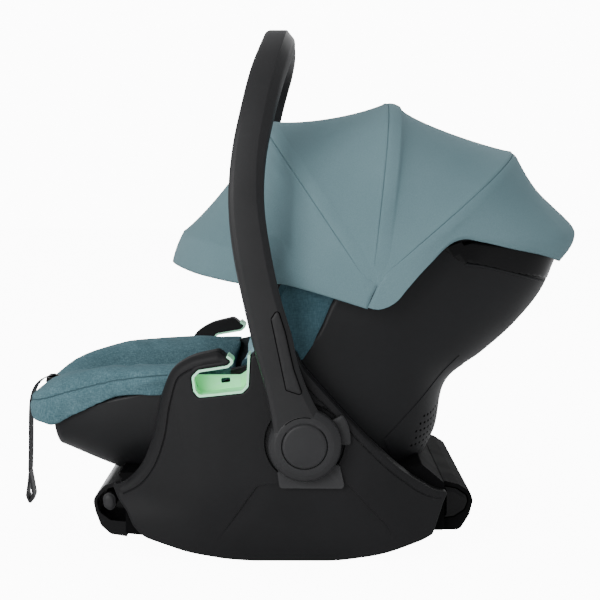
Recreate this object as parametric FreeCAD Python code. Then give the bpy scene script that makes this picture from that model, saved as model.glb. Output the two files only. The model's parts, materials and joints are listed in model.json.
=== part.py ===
import FreeCAD, Part
import math
import os

os.makedirs("parts", exist_ok=True)
V = FreeCAD.Vector

# Infant car seat (rear-facing carrier). Millimetres, +Z up.
# X runs along the seat: feet end at -X, head end at +X. Y is the width; the occupant's
# left side is -Y. The origin is on the floor, under the middle of the seat.

# ---------------------------------------------------------------- driving dimensions
HUB_X, HUB_Z = 5.0, 137.0          # carry-handle axis
CANOPY_X, CANOPY_Z = 84.0, 308.0   # canopy axis
PANEL_Y = 200.0                    # outer face of the side panels at the hub
PANEL_INNER_Y = 164.0              # inner edge of the side panels
PANEL_WALL = 4.0
SHELL_WALL = 4.0
LINER_WALL = 11.0                  # energy-absorbing foam
HANDLE_TOP_Z = 596.0
HANDLE_OUTER_Y = 222.0
HANDLE_THICK = 17.0                # arm thickness across the seat
HUB_RADIUS = 40.0
BUTTON_RADIUS = 24.5
BUTTON_TRAVEL = 5.0
PIN_RADIUS = 8.0
RUNNING = 0.05                     # radial clearance of a turning fit
GAP = 0.4                          # clearance between neighbouring pieces
BACK_TILT = 35.0                   # headrest slide, degrees back from vertical
WEBBING = 2.0                      # harness webbing thickness
CANOPY_PIN = 4.0

# ---------------------------------------------------------------- helpers


def at(plane, a, b, c=0.0):
    """A point from two in-plane coordinates and one across the plane."""
    return {"xz": V(a, c, b), "yz": V(c, a, b), "xy": V(a, b, c)}[plane]


def outline(points, plane="xz", across=0.0):
    """Closed wire through corners (a, b, radius): straight runs joined by tangent arcs."""
    corners = []
    count = len(points)
    for i, (a, b, radius) in enumerate(points):
        here = at(plane, a, b, across)
        back = at(plane, *points[i - 1][:2], across) - here
        ahead = at(plane, *points[(i + 1) % count][:2], across) - here
        room = 0.46 * min(back.Length, ahead.Length)
        back.normalize()
        ahead.normalize()
        half = 0.5 * back.getAngle(ahead)
        if radius <= 0 or half > 0.5 * math.pi - 0.005:
            corners.append((here, None, here))
            continue
        reach = min(radius / math.tan(half), room)
        radius = reach * math.tan(half)
        inward = back + ahead
        inward.normalize()
        middle = here + inward * (radius / math.sin(half) - radius)
        corners.append((here + back * reach, middle, here + ahead * reach))
    edges = []
    for i, (start, middle, end) in enumerate(corners):
        if middle is not None:
            edges.append(Part.Arc(start, middle, end).toShape())
        following = corners[(i + 1) % count][0]
        if (following - end).Length > 1e-4:
            edges.append(Part.LineSegment(end, following).toShape())
    return Part.Wire(edges)


def prism(points, low, high, plane="xz"):
    """Outline in a plane, extruded across it from low to high."""
    face = Part.Face(outline(points, plane, low))
    return face.extrude(at(plane, 0, 0, high - low))


def soft(points, radius):
    """Give every (a, b) the same corner radius."""
    return [(p[0], p[1], radius) for p in points]


def offset_path(points, distance):
    """Open path (a, b) moved sideways to its left by a distance, with mitred corners."""
    moved = []
    for i, here in enumerate(points):
        before = points[max(i - 1, 0)]
        after = points[min(i + 1, len(points) - 1)]
        normals = []
        for p, q in ((before, here), (here, after)):
            run = math.hypot(q[0] - p[0], q[1] - p[1])
            if run > 1e-9:
                normals.append((-(q[1] - p[1]) / run, (q[0] - p[0]) / run))
        na, nb = sum(n[0] for n in normals), sum(n[1] for n in normals)
        size = math.hypot(na, nb)
        stretch = 2.0 / size if len(normals) == 2 else 1.0
        stretch = min(stretch, 1.6)
        moved.append((here[0] + na / size * stretch * distance,
                      here[1] + nb / size * stretch * distance))
    return moved


def band(points, thickness, low, high, radius=6.0):
    """A strip that follows an open path in the XZ plane, thickness to its left."""
    path = soft(points, radius) + soft(reversed(offset_path(points, thickness)), radius)
    ends = (0, len(points) - 1, len(points), len(path) - 1)
    path = [(a, b, 0.0 if i in ends else r) for i, (a, b, r) in enumerate(path)]
    return prism(path, low, high)


def disc(radius, low, high, x=HUB_X, z=HUB_Z):
    """Cylinder along Y."""
    return Part.makeCylinder(radius, high - low, V(x, low, z), V(0, 1, 0))


def rims(shape, y):
    """The full-circle edges of a shape that lie at one y."""
    return [e for e in shape.Edges if abs(e.BoundBox.YMin - y) < 0.01
            and abs(e.BoundBox.YMax - y) < 0.01 and e.Length > 50]


def mirrored(shape):
    return shape.mirror(V(0, 0, 0), V(0, 1, 0))


def largest(shape):
    return max(shape.Solids, key=lambda solid: solid.Volume)


def one(shape):
    """The largest solid of a result, cleaned."""
    return largest(shape).removeSplitter()


parts = {}


def pair(name, shape):
    """A left piece (at -Y) and its mirrored right piece."""
    parts[name + "_left"] = shape
    parts[name + "_right"] = mirrored(shape)


# ---------------------------------------------------------------- bucket forms
# A bucket is lofted through stations: (rim x, rim z, low x, low z, half width).

SHELL_STATIONS = [
    (-286, 150, -280, 108, 112), (-240, 168, -236, 88, 128), (-180, 184, -165, 62, 140),
    (-100, 206, -75, 42, 152), (-15, 228, 25, 36, 158), (18, 252, 112, 56, 160),
    (38, 292, 160, 122, 160), (66, 336, 176, 186, 160), (110, 372, 218, 218, 155),
    (172, 396, 259, 255, 143), (246, 392, 290, 296, 122), (302, 352, 303, 334, 92),
]

CAVITY_STATIONS = [
    (-338, 205, -334, 152, 78), (-306, 222, -298, 174, 84), (-250, 238, -238, 162, 95),
    (-190, 246, -170, 134, 104),
    (-110, 256, -75, 102, 112), (-20, 270, 30, 90, 118), (20, 300, 98, 122, 120),
    (62, 345, 142, 192, 120), (112, 390, 186, 255, 118), (176, 424, 226, 312, 108),
    (236, 444, 258, 356, 90),
]


def between(first, second, share):
    return tuple(a + (b - a) * share for a, b in zip(first, second))


def bucket_section(station, inset, rise, squareness):
    """One U-shaped closed section; inset shrinks it, rise lifts its open side."""
    rim_x, rim_z, low_x, low_z, half = station
    rim, low = V(rim_x, 0, rim_z), V(low_x, 0, low_z)
    down = low - rim
    depth = down.Length - inset
    down.normalize()
    half = half - inset
    steps = 16
    curve = []
    for k in range(steps + 1):
        turn = math.pi * k / steps
        across = math.copysign(abs(math.cos(turn)) ** squareness, math.cos(turn))
        fall = math.sin(turn) ** (squareness + 0.15)
        curve.append(rim + down * (depth * fall) + V(0, -half * across, 0))
    spline = Part.BSplineCurve()
    spline.interpolate(curve)
    left, right = curve[0], curve[-1]
    left_top, right_top = left - down * rise, right - down * rise
    edges = [spline.toShape()]
    if rise > 0:
        edges.append(Part.LineSegment(right, right_top).toShape())
    edges.append(Part.LineSegment(right_top, left_top).toShape())
    if rise > 0:
        edges.append(Part.LineSegment(left_top, left).toShape())
    return Part.Wire(edges)


def low_span(first, second):
    """Distance between two stations along the low line."""
    return math.hypot(second[2] - first[2], second[3] - first[3])


def evened(stations, count=18):
    """The same run of stations, respaced evenly along a smooth curve through them."""
    marks = [0.0]
    for first, second in zip(stations, stations[1:]):
        marks.append(marks[-1] + low_span(first, second))
    result = []
    for k in range(count):
        mark = marks[-1] * k / (count - 1)
        i = min(max(j for j, m in enumerate(marks) if m <= mark + 1e-6), len(stations) - 2)
        share = (mark - marks[i]) / (marks[i + 1] - marks[i])
        here, after = stations[i], stations[i + 1]
        before, beyond = stations[max(i - 1, 0)], stations[min(i + 2, len(stations) - 1)]
        width = marks[i + 1] - marks[i]
        left = marks[i + 1] - marks[max(i - 1, 0)]
        right = marks[min(i + 2, len(stations) - 1)] - marks[i]
        point = []
        for a, b, c, d in zip(before, here, after, beyond):
            slope_in, slope_out = (c - a) * width / left, (d - b) * width / right
            h = share
            point.append(b * (2 * h ** 3 - 3 * h ** 2 + 1) + slope_in * (h ** 3 - 2 * h ** 2 + h)
                         + c * (3 * h ** 2 - 2 * h ** 3) + slope_out * (h ** 3 - h ** 2))
        result.append(tuple(point))
    return result


def bucket(stations, inset=0.0, rise=0.0, squareness=0.6):
    """A solid bucket form. Its two ends draw in by the same inset."""
    stations = evened(stations)
    if inset > 0:
        for end, second in ((0, 1), (-1, -2)):
            share = min(inset / low_span(stations[end], stations[second]), 0.8)
            stations[end] = between(stations[end], stations[second], share)
    wires = [bucket_section(s, inset, rise, squareness) for s in stations]
    return Part.makeLoft(wires, True, False)


shell_form = bucket(SHELL_STATIONS)
shell_hollow = bucket(SHELL_STATIONS, SHELL_WALL, rise=60)
liner_form = bucket(SHELL_STATIONS, SHELL_WALL + GAP)
liner_hollow = bucket(SHELL_STATIONS, SHELL_WALL + GAP + LINER_WALL, rise=60)
COVER_INSET = SHELL_WALL + LINER_WALL + 2 * GAP
cavity = bucket(CAVITY_STATIONS, rise=70)

canopy_bore = disc(CANOPY_PIN, -200, 200, CANOPY_X, CANOPY_Z)
parts["seat_shell"] = one(shell_form.cut(shell_hollow).cut(canopy_bore))
parts["foam_liner"] = one(liner_form.cut(liner_hollow).cut(parts["seat_shell"]))

# ---------------------------------------------------------------- side panels and base
# The slot for the car's lap belt: an open path from the hook's tip round to the far lip.
SLOT_PATH = [(-81, 231), (-75, 226.5), (-80, 222), (-112, 216.5), (-119.5, 209),
             (-117.5, 193), (-112, 186), (-63, 192), (-56.5, 199), (-54.5, 234)]

PANEL_OUTLINE = [
    (-212, 84, 6), (-205, 66, 20), (-195, 52, 20), (-188, 36, 20), (-176, 24, 30),
    (-125, 9, 200), (-82, 2, 200), (-55, 0, 200), (42, 0, 200), (92, 7, 200),
    (138, 23, 60), (149, 29, 6), (161, 66, 20), (166, 77, 3), (152, 79, 60),
    (115, 102, 300), (73, 141, 300), (46, 170, 300), (3, 219, 30), (-4, 236, 6),
] + soft(reversed(SLOT_PATH), 5) + [
    (-89, 238, 8), (-120, 231, 60), (-143, 217, 40), (-156, 183, 120),
    (-164, 140, 120), (-176, 109, 80), (-189, 93, 60), (-203, 83, 20),
]

# A ledge on the panel's inner edge that stands up behind the rear slope.
LEDGE = [(-3, 225, 4), (-2, 233, 4), (46, 184, 200), (90, 147, 300), (128, 117, 200),
         (150, 94, 30), (158, 82, 4), (140, 84, 60), (110, 102, 300), (70, 140, 300),
         (44, 168, 300), (4, 214, 20)]


def plan_limit(inset):
    """Room inside the bowed side panels, seen from above."""
    y = PANEL_Y - inset
    bow = [(-240, -y + 42, 0), (-110, -y + 6, 900), (-10, -y, 900), (95, -y + 4, 900),
           (210, -y + 34, 0)]
    return prism(bow + [(210, 0, 0), (-240, 0, 0)], -20, 260, "xy")


def front_limit(inset):
    """Room inside the side panels, seen from the front: they draw in near the floor."""
    y = PANEL_Y - inset
    side = [(-y + 16, -10, 0), (-y + 9, 30, 120), (-y, 95, 300), (-y - 1, 260, 0)]
    return prism(side + [(0, 260, 0), (0, -10, 0)], -260, 260, "yz")


def side_panel():
    outer = prism(PANEL_OUTLINE, -PANEL_Y - 8, -PANEL_INNER_Y)
    outer = outer.common(plan_limit(0)).common(front_limit(0))
    face = Part.Face(outline(PANEL_OUTLINE, "xz", -PANEL_Y - 8))
    inner_face = face.makeOffset2D(-PANEL_WALL, join=2)
    inner = inner_face.extrude(V(0, PANEL_Y + 8 - PANEL_INNER_Y + 5, 0))
    inner = inner.common(plan_limit(PANEL_WALL)).common(front_limit(PANEL_WALL))
    panel = outer.cut(inner)
    panel = panel.fuse(disc(56, -PANEL_Y + 2, -184))
    panel = panel.fuse(prism(LEDGE, -PANEL_INNER_Y - 8, -PANEL_INNER_Y))
    panel = panel.cut(disc(HUB_RADIUS + 4, -PANEL_Y - 5, -196.6))
    panel = panel.cut(bracket_form(GAP).fuse(disc(23, -197, -191.5)))
    panel = panel.cut(disc(PIN_RADIUS, -192, -180))
    for x, z in SCREW_PLACES:
        panel = panel.cut(Part.makeCylinder(2.1, 9, V(x, -PANEL_INNER_Y - 8, z), V(0, 1, 0)))
    return one(panel)


def bracket_form(grow=0.0):
    """Fixed plate behind the hub: a ring with a trapezoid foot and a lug."""
    low, high = -203.0 - 10 * grow, -196.6
    foot = [(-25 - grow, 106, 3), (-22.5 - grow, 87 - grow, 4), (49.5 + grow, 86.5 - grow, 4),
            (43.5 + grow, 113, 3)]
    lug = [(36, 160, 0), (44 + grow, 168 + grow, 3), (52 + grow, 160, 3),
           (57 + grow, 132, 4), (48, 126 - grow, 0)]
    plate = prism(foot, low, high).fuse(prism(lug, low, high))
    return plate.fuse(disc(HUB_RADIUS - 4, low, high))


def hub_bracket():
    plate = bracket_form().cut(disc(HUB_RADIUS + 0.8, -204.5, -200.2))
    return one(plate.cut(disc(23, -204, -190)))


TUB_OUTLINE = [
    (-197, 84, 0), (-206, 96, 2), (100, 98, 0), (138, 105, 2), (163, 84, 3), (163, 30, 3),
    (149, 30, 3), (138, 23, 60), (92, 7, 200), (42, 0, 200), (-55, 0, 200), (-82, 2, 200),
    (-125, 9, 200), (-176, 24, 30), (-197, 26, 2),
]
TUB_HALF = PANEL_INNER_Y - GAP
SCREW_PLACES = [(-168, 60), (-150, 34), (120, 40), (136, 66)]


def base_tub():
    outer = prism(TUB_OUTLINE, -TUB_HALF, TUB_HALF)
    face = Part.Face(outline(TUB_OUTLINE, "xz", -TUB_HALF + 4))
    hollow = face.makeOffset2D(-4.0, join=2).extrude(V(0, 2 * TUB_HALF - 8, 0))
    tub = outer.cut(hollow).cut(bucket(SHELL_STATIONS, -GAP))
    return one(tub)


def dock_housing(points, recess, bar_x, bar_z, bow):
    """End bulge with a side recess at each end and a steel bar right through it."""
    half = 150.0
    sign = -1 if bow < 0 else 1
    body = prism(points, -half, half)
    far_x = bar_x + sign * 30
    lens = [(bar_x - sign * 40, -half - 5, 0), (far_x - abs(bow) * sign, -half - 5, 0),
            (far_x, -half * 0.45, 400), (far_x, half * 0.45, 400),
            (far_x - abs(bow) * sign, half + 5, 0), (bar_x - sign * 40, half + 5, 0)]
    body = body.common(prism(lens, 0, 120, "xy"))
    for low, high in ((-half - 1, -118), (118, half + 1)):
        body = body.cut(prism(recess, low, high))
    body = body.cut(bucket(SHELL_STATIONS, -GAP))
    return one(body.cut(disc(5.0, -half, half, bar_x, bar_z)))


FRONT_DOCK = [(-197.4, 84, 0), (-222, 79, 10), (-236, 63, 12), (-233, 48, 10),
              (-227, 32, 10), (-216, 22, 8), (-197.4, 19, 0)]
FRONT_RECESS = [(-196, 79, 0), (-220, 75, 8), (-232, 62, 9), (-229, 48, 8), (-216, 38, 6),
                (-196, 36, 0)]
REAR_DOCK = [(163.4, 84, 0), (180, 80, 8), (194, 71, 8), (197, 61, 8), (193, 45, 10),
             (182, 27, 9), (163.4, 27, 0)]
REAR_RECESS = [(162, 79, 0), (178, 76, 6), (190, 68, 6), (192, 61, 6), (188, 50, 6),
               (176, 42, 5), (162, 40, 0)]

pair("side_panel", side_panel())
pair("hub_bracket", hub_bracket())
parts["base_tub"] = base_tub()
parts["front_dock_housing"] = dock_housing(FRONT_DOCK, FRONT_RECESS, -217, 60, -9)
parts["rear_dock_housing"] = dock_housing(REAR_DOCK, REAR_RECESS, 179, 62, 7)
parts["front_dock_bar"] = disc(5.0, -150, 150, -217, 60)
parts["rear_dock_bar"] = disc(5.0, -150, 150, 179, 62)

screws = [Part.makeCylinder(2.0, 7.5, V(x, -PANEL_INNER_Y - 7.5, z), V(0, 1, 0))
          for x, z in SCREW_PLACES]
screws += [mirrored(s) for s in screws]
parts["base_screws"] = Part.makeCompound(screws)


def belt_guide():
    """Mint liner: a channel round the slot, with a low back wall and a latch hole."""
    lining = band(SLOT_PATH, 2.6, -PANEL_Y - 0.5, -PANEL_INNER_Y, 5)
    lining = lining.common(plan_limit(-0.8)).common(front_limit(-0.8))
    wall = [(-117, 208, 0), (-114, 192, 4), (-109, 187, 4), (-64, 194, 4), (-58.5, 200, 4),
            (-57.5, 214, 0), (-66, 208, 6)]
    back = prism(wall, -PANEL_INNER_Y - 2.5, -PANEL_INNER_Y)
    hole = prism(soft([(-88, 198.5), (-78, 199.5), (-78, 205), (-88, 204)], 1.5), -170, -160)
    return one(lining.fuse(back).cut(hole))


pair("belt_guide", belt_guide())

# ---------------------------------------------------------------- shell trim
CROWN_BAND = soft([(150, 352), (176, 336), (266, 316), (300, 318), (310, 332),
                   (272, 344), (178, 364), (160, 362)], 3)
VENT_BAND = soft([(158, 192), (112, 148), (120, 120), (153, 109), (186, 186)], 4)


def skin(low, high, window):
    """A skin on the outside of the shell, seen through an XZ window."""
    layer = bucket(SHELL_STATIONS, -high).cut(bucket(SHELL_STATIONS, -low))
    return layer.common(prism(window, -190, 190))


def vent_panel():
    panel = skin(0.3, 3.0, VENT_BAND)
    holes = []
    for row in range(5):
        for place in range(5):
            x = 130 + 7.5 * place + 3.5 * (row % 2)
            z = 128 + 9.0 * row + 1.2 * place
            holes.append(disc(1.7, -190, -60, x, z))
    holes = Part.makeCompound(holes)
    return one(panel.cut(holes).cut(mirrored(holes)))


parts["vent_panel"] = vent_panel()
parts["crown_trim"] = one(skin(0.3, 2.2, CROWN_BAND))

# ---------------------------------------------------------------- carry handle
ARM_FRONT = [(-28, 137), (-31, 165), (-38, 200), (-51, 250), (-62, 300), (-72, 352),
             (-77, 405), (-74, 456), (-64, 509), (-54, 551), (-41, 588)]
ARM_REAR = [(38, 137), (25, 165), (11, 193), (0, 222), (-9, 262), (-20, 300),
            (-31, 352), (-38, 405), (-37, 456), (-28, 509), (-18, 551), (-7, 588)]
CROSSBAR_HALF = 96.0
POST_PLACES = [(HUB_X + 15 * math.cos(math.radians(a)), HUB_Z + 15 * math.sin(math.radians(a)))
               for a in (30, 150, 270)]


def handle_form():
    """The whole handle as the meeting of its side outline and its front outline."""
    side = soft(ARM_FRONT, 160) + [(-38, HANDLE_TOP_Z, 8), (-7, HANDLE_TOP_Z, 8)]
    side += soft(reversed(ARM_REAR), 160)
    outer_y, inner_y = HANDLE_OUTER_Y, HANDLE_OUTER_Y - HANDLE_THICK
    outer = [(-outer_y, 100, 0), (-outer_y, 400, 120), (-outer_y + 14, 500, 160),
             (-outer_y + 66, 578, 90), (-CROSSBAR_HALF, HANDLE_TOP_Z, 90)]
    inner = [(-inner_y, 100, 0), (-inner_y, 400, 120), (-inner_y + 16, 492, 150),
             (-inner_y + 62, 556, 80), (-CROSSBAR_HALF + 4, HANDLE_TOP_Z - 27, 80)]
    front = outer + [(-y, z, r) for y, z, r in reversed(outer)]
    front += [(-y, z, r) for y, z, r in inner] + list(reversed(inner))
    return prism(side, -240, 240).common(prism(front, -120, 60, "yz"))


handle = handle_form()
grip_cut = Part.makeBox(200, 2 * CROSSBAR_HALF, 80, V(-120, -CROSSBAR_HALF, 540))
COVER = [(-15, 199), (-31, 276), (-24, 287), (-16, 262), (-7, 222), (3, 193)]


def handle_arm():
    arm = one(handle.cut(grip_cut).common(Part.makeBox(400, 240, 600, V(-200, -240, 0))))
    hub = disc(HUB_RADIUS, -HANDLE_OUTER_Y, -204.8)
    arm = arm.cut(disc(HUB_RADIUS, -HANDLE_OUTER_Y - 1, -204.0)).fuse(hub.makeChamfer(
        6, rims(hub, -HANDLE_OUTER_Y)))
    arm = arm.cut(disc(BUTTON_RADIUS + 0.3, -HANDLE_OUTER_Y - 1, -209.0))
    arm = arm.cut(disc(PIN_RADIUS + RUNNING, -212, -200))
    for x, z in POST_PLACES:
        arm = arm.cut(disc(2.6, -212, -200, x, z))
    return one(arm.cut(prism(soft(COVER, 2.5), -240, -HANDLE_OUTER_Y + 2.5)))


pair("handle_arm", handle_arm())
parts["handle_grip"] = one(handle.common(grip_cut))
pair("arm_cover", prism(soft(COVER, 2.5), -HANDLE_OUTER_Y, -HANDLE_OUTER_Y + 2.5))

pin = disc(PIN_RADIUS, -209.4, -184.5).fuse(disc(11.5, -211.4, -209.4))
pair("pivot_pin", one(pin))

button = disc(BUTTON_RADIUS, -HANDLE_OUTER_Y - 2.5, -HANDLE_OUTER_Y + 1)
button = button.fuse(disc(BUTTON_RADIUS, -HANDLE_OUTER_Y, -217.5).cut(
    disc(BUTTON_RADIUS - 3, -HANDLE_OUTER_Y + 1, -217)))
pair("release_button", one(button.makeFillet(1.6, rims(button, -HANDLE_OUTER_Y - 2.5))))


def lock_gear():
    """Toothed disc with three posts that reach the button through the hub's web."""
    teeth = 16
    rim = []
    for k in range(teeth):
        for share, radius in ((0.1, 17.0), (0.3, 20.5), (0.6, 20.5), (0.8, 17.0)):
            turn = 2 * math.pi * (k + share) / teeth
            rim.append((HUB_X + radius * math.cos(turn), HUB_Z + radius * math.sin(turn), 0))
    gear = prism(rim, -203.8, -198.8).cut(disc(PIN_RADIUS + 0.6, -205, -198))
    for x, z in POST_PLACES:
        gear = gear.fuse(disc(2.0, -HANDLE_OUTER_Y + 1, -203.8, x, z))
    return one(gear)


pair("lock_gear", lock_gear())


def button_spring():
    """Coil between the hub's web and the button."""
    turns, radius, wire = 3, 19.5, 0.7
    length = 10.6
    helix = Part.makeHelix(length / turns, length, radius)
    section = Part.Wire(Part.makeCircle(wire, V(radius, 0, 0), V(0, 1, 0)))
    coil = Part.Wire(helix).makePipeShell([section], True, True)
    coil.rotate(V(0, 0, 0), V(1, 0, 0), 90)
    coil.translate(V(HUB_X, -209.8, HUB_Z))
    return coil


spring = button_spring()
parts["button_spring_left"] = spring
parts["button_spring_right"] = spring.copy()
parts["button_spring_right"].rotate(V(HUB_X, 0, HUB_Z), V(1, 0, 0), 180)

# ---------------------------------------------------------------- canopy
# Each bow: angle above the feet-to-head line, radius, half width.
VISOR_BOW = (167.0, 229.0, 178.5)
FRONT_BOW = (124.0, 217.0, 182.5)
MIDDLE_BOW = (83.0, 206.0, 186.5)
REAR_BOW = (40.0, 223.0, 190.5)
REAR_RIM = (13.0, 250.0, 176.0)
BOW_WIDE, BOW_THICK = 6.0, 3.0
CANOPY_POWER = 2.7
FABRIC = 3.0


def canopy_section(radius, half, floor=14.0, steps=14):
    """Closed D-shaped wire in the XY plane, X outwards: a flattened arch over a chord."""
    curve = []
    for k in range(steps + 1):
        turn = math.pi * k / steps
        share = 2.0 / CANOPY_POWER
        across = math.copysign(abs(math.cos(turn)) ** share, math.cos(turn))
        out = math.sin(turn) ** share
        curve.append(V(floor + (radius - floor) * out, -half * across, 0))
    spline = Part.BSplineCurve()
    spline.interpolate(curve)
    return Part.Wire([spline.toShape(), Part.LineSegment(curve[-1], curve[0]).toShape()])


def turned(shape, angle):
    """From the XY plane into the radial plane at an angle about the canopy axis."""
    shape = shape.copy()
    shape.rotate(V(0, 0, 0), V(0, 1, 0), -angle)
    shape.translate(V(CANOPY_X, 0, CANOPY_Z))
    return shape


def canopy_bow(bow):
    angle, radius, half = bow
    outer = Part.Face(canopy_section(radius, half, 0.0)).extrude(V(0, 0, BOW_WIDE))
    inner = Part.Face(canopy_section(radius - BOW_THICK, half - BOW_THICK, 0.0))
    ring = outer.cut(inner.extrude(V(0, 0, BOW_WIDE)))
    ring.translate(V(0, 0, -0.5 * BOW_WIDE))
    hoop = turned(ring, angle)
    for side in (-1, 1):
        low, high = sorted((side * half, side * (half - BOW_THICK)))
        hoop = hoop.fuse(disc(9.0, low, high, CANOPY_X, CANOPY_Z))
    return one(hoop.cut(disc(CANOPY_PIN + RUNNING, -200, 200, CANOPY_X, CANOPY_Z)))


parts["visor_bow"] = canopy_bow(VISOR_BOW)
parts["front_bow"] = canopy_bow(FRONT_BOW)
parts["middle_bow"] = canopy_bow(MIDDLE_BOW)
parts["rear_bow"] = canopy_bow(REAR_BOW)
canopy_pin = disc(CANOPY_PIN, -193.5, -157, CANOPY_X, CANOPY_Z)
pair("canopy_pin", one(canopy_pin.fuse(disc(8, -193.5, -191, CANOPY_X, CANOPY_Z))))


def canopy_skin(first, second, sag, start=1.6, stop=1.6):
    """Fabric between two bows, pulled in by sag half way."""
    def at_share(share):
        angle, radius, half = between(first, second, share)
        pull = sag * 4 * share * (1 - share)
        return angle, radius - pull + FABRIC, half - 0.4 * pull + FABRIC
    span = abs(second[0] - first[0])
    shares = [start / span, 0.25, 0.5, 0.75, 1 - stop / span]
    outer, inner = [], []
    for angle, radius, half in map(at_share, shares):
        outer.append(turned(canopy_section(radius, half, 34), angle))
        inner.append(turned(canopy_section(radius - FABRIC, half - FABRIC, 28), angle))
    return one(Part.makeLoft(outer, True, False).cut(Part.makeLoft(inner, True, False)))


visor = canopy_skin(VISOR_BOW, FRONT_BOW, 21, -7.0, 2.2)
front_panel = canopy_skin(FRONT_BOW, MIDDLE_BOW, 19, 2.2, 2.2)
middle_panel = canopy_skin(MIDDLE_BOW, REAR_BOW, 19, 2.2, 2.2)
rear_panel = canopy_skin(REAR_BOW, REAR_RIM, 3, 2.0, 0.0)
bows = Part.makeCompound([parts[n] for n in ("visor_bow", "front_bow", "middle_bow", "rear_bow")])
parts["canopy_visor"] = one(visor.cut(bows))
parts["canopy_front_panel"] = one(front_panel.cut(bows))
parts["canopy_middle_panel"] = one(middle_panel.cut(bows))
parts["canopy_rear_panel"] = one(rear_panel.cut(bows))

# ---------------------------------------------------------------- harness adjuster
PLATE_TILT = 12.0
PLATE_FOOT = V(-312, 0, 177.5)


def on_lip(shape):
    """From the adjuster's own frame onto the front lip of the seat."""
    shape = shape.copy()
    shape.rotate(V(0, 0, 0), V(0, 1, 0), PLATE_TILT)
    shape.translate(PLATE_FOOT)
    return shape


plate = prism(soft([(0, -20), (40, -20), (40, 20), (0, 20)], 7), 0, 6, "xy")
plate = plate.cut(prism(soft([(17, -11), (35, -11), (35, 11), (17, 11)], 3), 1.5, 10, "xy"))
plate = plate.cut(Part.makeBox(9, 24, 10, V(3.5, -12, -1)))
key = prism(soft([(17.4, -10.6), (34.6, -10.6), (34.6, 10.6), (17.4, 10.6)], 2.6), 4.6, 8.6, "xy")
parts["adjuster_button"] = on_lip(key)

# The free end of the adjuster strap: flat webbing, out of the plate and down over the lip.
PULL_WIDE, PULL_THICK = 20.0, 1.6
PULL_ROUTE = [(-305, 184), (-316, 181), (-326, 172), (-331.5, 157), (-333, 138),
              (-333.5, 114), (-334, 90), (-335, 66)]
half_pull = 0.5 * PULL_WIDE
parts["adjuster_strap"] = band(PULL_ROUTE, PULL_THICK, -half_pull, half_pull, 12)
parts["adjuster_plate"] = one(on_lip(plate).cut(parts["adjuster_strap"]))
adjuster_room = on_lip(prism(soft([(-1, -21), (41, -21), (41, 21), (-1, 21)], 7), 0, 20, "xy"))
adjuster_room = adjuster_room.fuse(band(offset_path(PULL_ROUTE[:6], -0.5), PULL_THICK + 1,
                                        -half_pull - 1, half_pull + 1, 12))
loop = [(-334.2, 66, 0), (-331.5, 50, 8), (-329, 34, 8), (-334.5, 20, 5), (-340, 34, 8),
        (-337.5, 50, 8), (-335.8, 66, 0)]
hole = [(-335, 58, 0), (-332.2, 36, 4), (-334.5, 25, 3), (-337.2, 36, 4)]
parts["pull_loop"] = prism(loop, -half_pull, half_pull).cut(
    prism(hole, -half_pull - 1, half_pull + 1))

# ---------------------------------------------------------------- seat covers
HEADREST_FOOT = V(132, 0, 178)             # foot of the headrest on the back cushion
HEADREST_HALF, HEADREST_DEPTH, HEADREST_LONG = 98.0, 84.0, 128.0
HEADREST_TRAVEL = 55.0


def on_back(shape):
    """From an upright frame (+Z up the back, -X towards the occupant) onto the back."""
    shape = shape.copy()
    shape.rotate(V(0, 0, 0), V(0, 1, 0), BACK_TILT)
    shape.translate(HEADREST_FOOT)
    return shape


def headrest_block(inset, low, high, reach=0.0):
    """U-shaped hood section swept up the back."""
    half, depth = HEADREST_HALF - inset, HEADREST_DEPTH - inset + reach
    back = -inset
    section = [(back, -half, 24), (back, half, 24), (-depth, half - 4, 12),
               (-depth, -half + 4, 12)]
    return on_back(prism(section, low, high, "xy"))


leg_region = prism([(-345, 100, 0), (-345, 300, 0), (-62, 300, 0), (-92, 60, 0),
                    (-300, 60, 0)], -200, 200)
LEG_UNDER = [(-329, 152, 12), (-306, 142, 16), (-283, 138.5, 4), (-262, 151, 40),
             (-206, 178, 60), (-160, 178, 40), (-62, 200, 0)]
LEG_TOP = [(-62, 217, 30), (-110, 222, 60), (-152, 219, 60), (-213, 213, 60),
           (-262, 200, 60), (-296, 188, 20), (-327, 168, 20)]
LEG_PLAN = [(-330, -50, 60), (-311, -124, 34), (-262, -134, 80), (-180, -150, 80),
            (-62, -161, 0), (-62, 161, 0), (-180, 150, 80), (-262, 134, 80),
            (-311, 124, 34), (-330, 50, 60)]
RIM_LAP = 9.0                      # how far the covers stand above the shell's rim
shell_room = Part.makeBox(800, 400, 600, V(-400, -200, 0)).cut(
    disc(CANOPY_PIN + 6, -200, 200, CANOPY_X, CANOPY_Z))


def leg_cushion():
    """Pad in the front of the bucket, with bolsters that lap over the shell's rim."""
    roll = prism(LEG_UNDER + LEG_TOP, -180, 180).common(prism(LEG_PLAN, 100, 300, "xy"))
    roll = roll.common(leg_region)
    pad = bucket(SHELL_STATIONS, COVER_INSET, rise=RIM_LAP).common(leg_region)
    pad = pad.common(prism(LEG_UNDER[:2] + [(-200, 60, 0), (-62, 30, 0)] + LEG_TOP, -180, 180))
    cushion = roll.cut(shell_form).fuse(pad).cut(cavity).cut(parts["foam_liner"])
    return largest(cushion.cut(adjuster_room))


def back_cushion():
    """Pad and side wings behind the legs, with a straight channel for the headrest."""
    behind = Part.makeBox(420, 500, 600, V(-95, -250, 0)).cut(leg_region)
    pad = bucket(SHELL_STATIONS, COVER_INSET, rise=RIM_LAP).common(behind).cut(cavity)
    channel = headrest_block(-1.0, -4, HEADREST_LONG + HEADREST_TRAVEL + 80, 120)
    return one(pad.cut(channel).common(shell_room))


parts["leg_cushion"] = leg_cushion()
parts["back_cushion"] = back_cushion()

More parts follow.
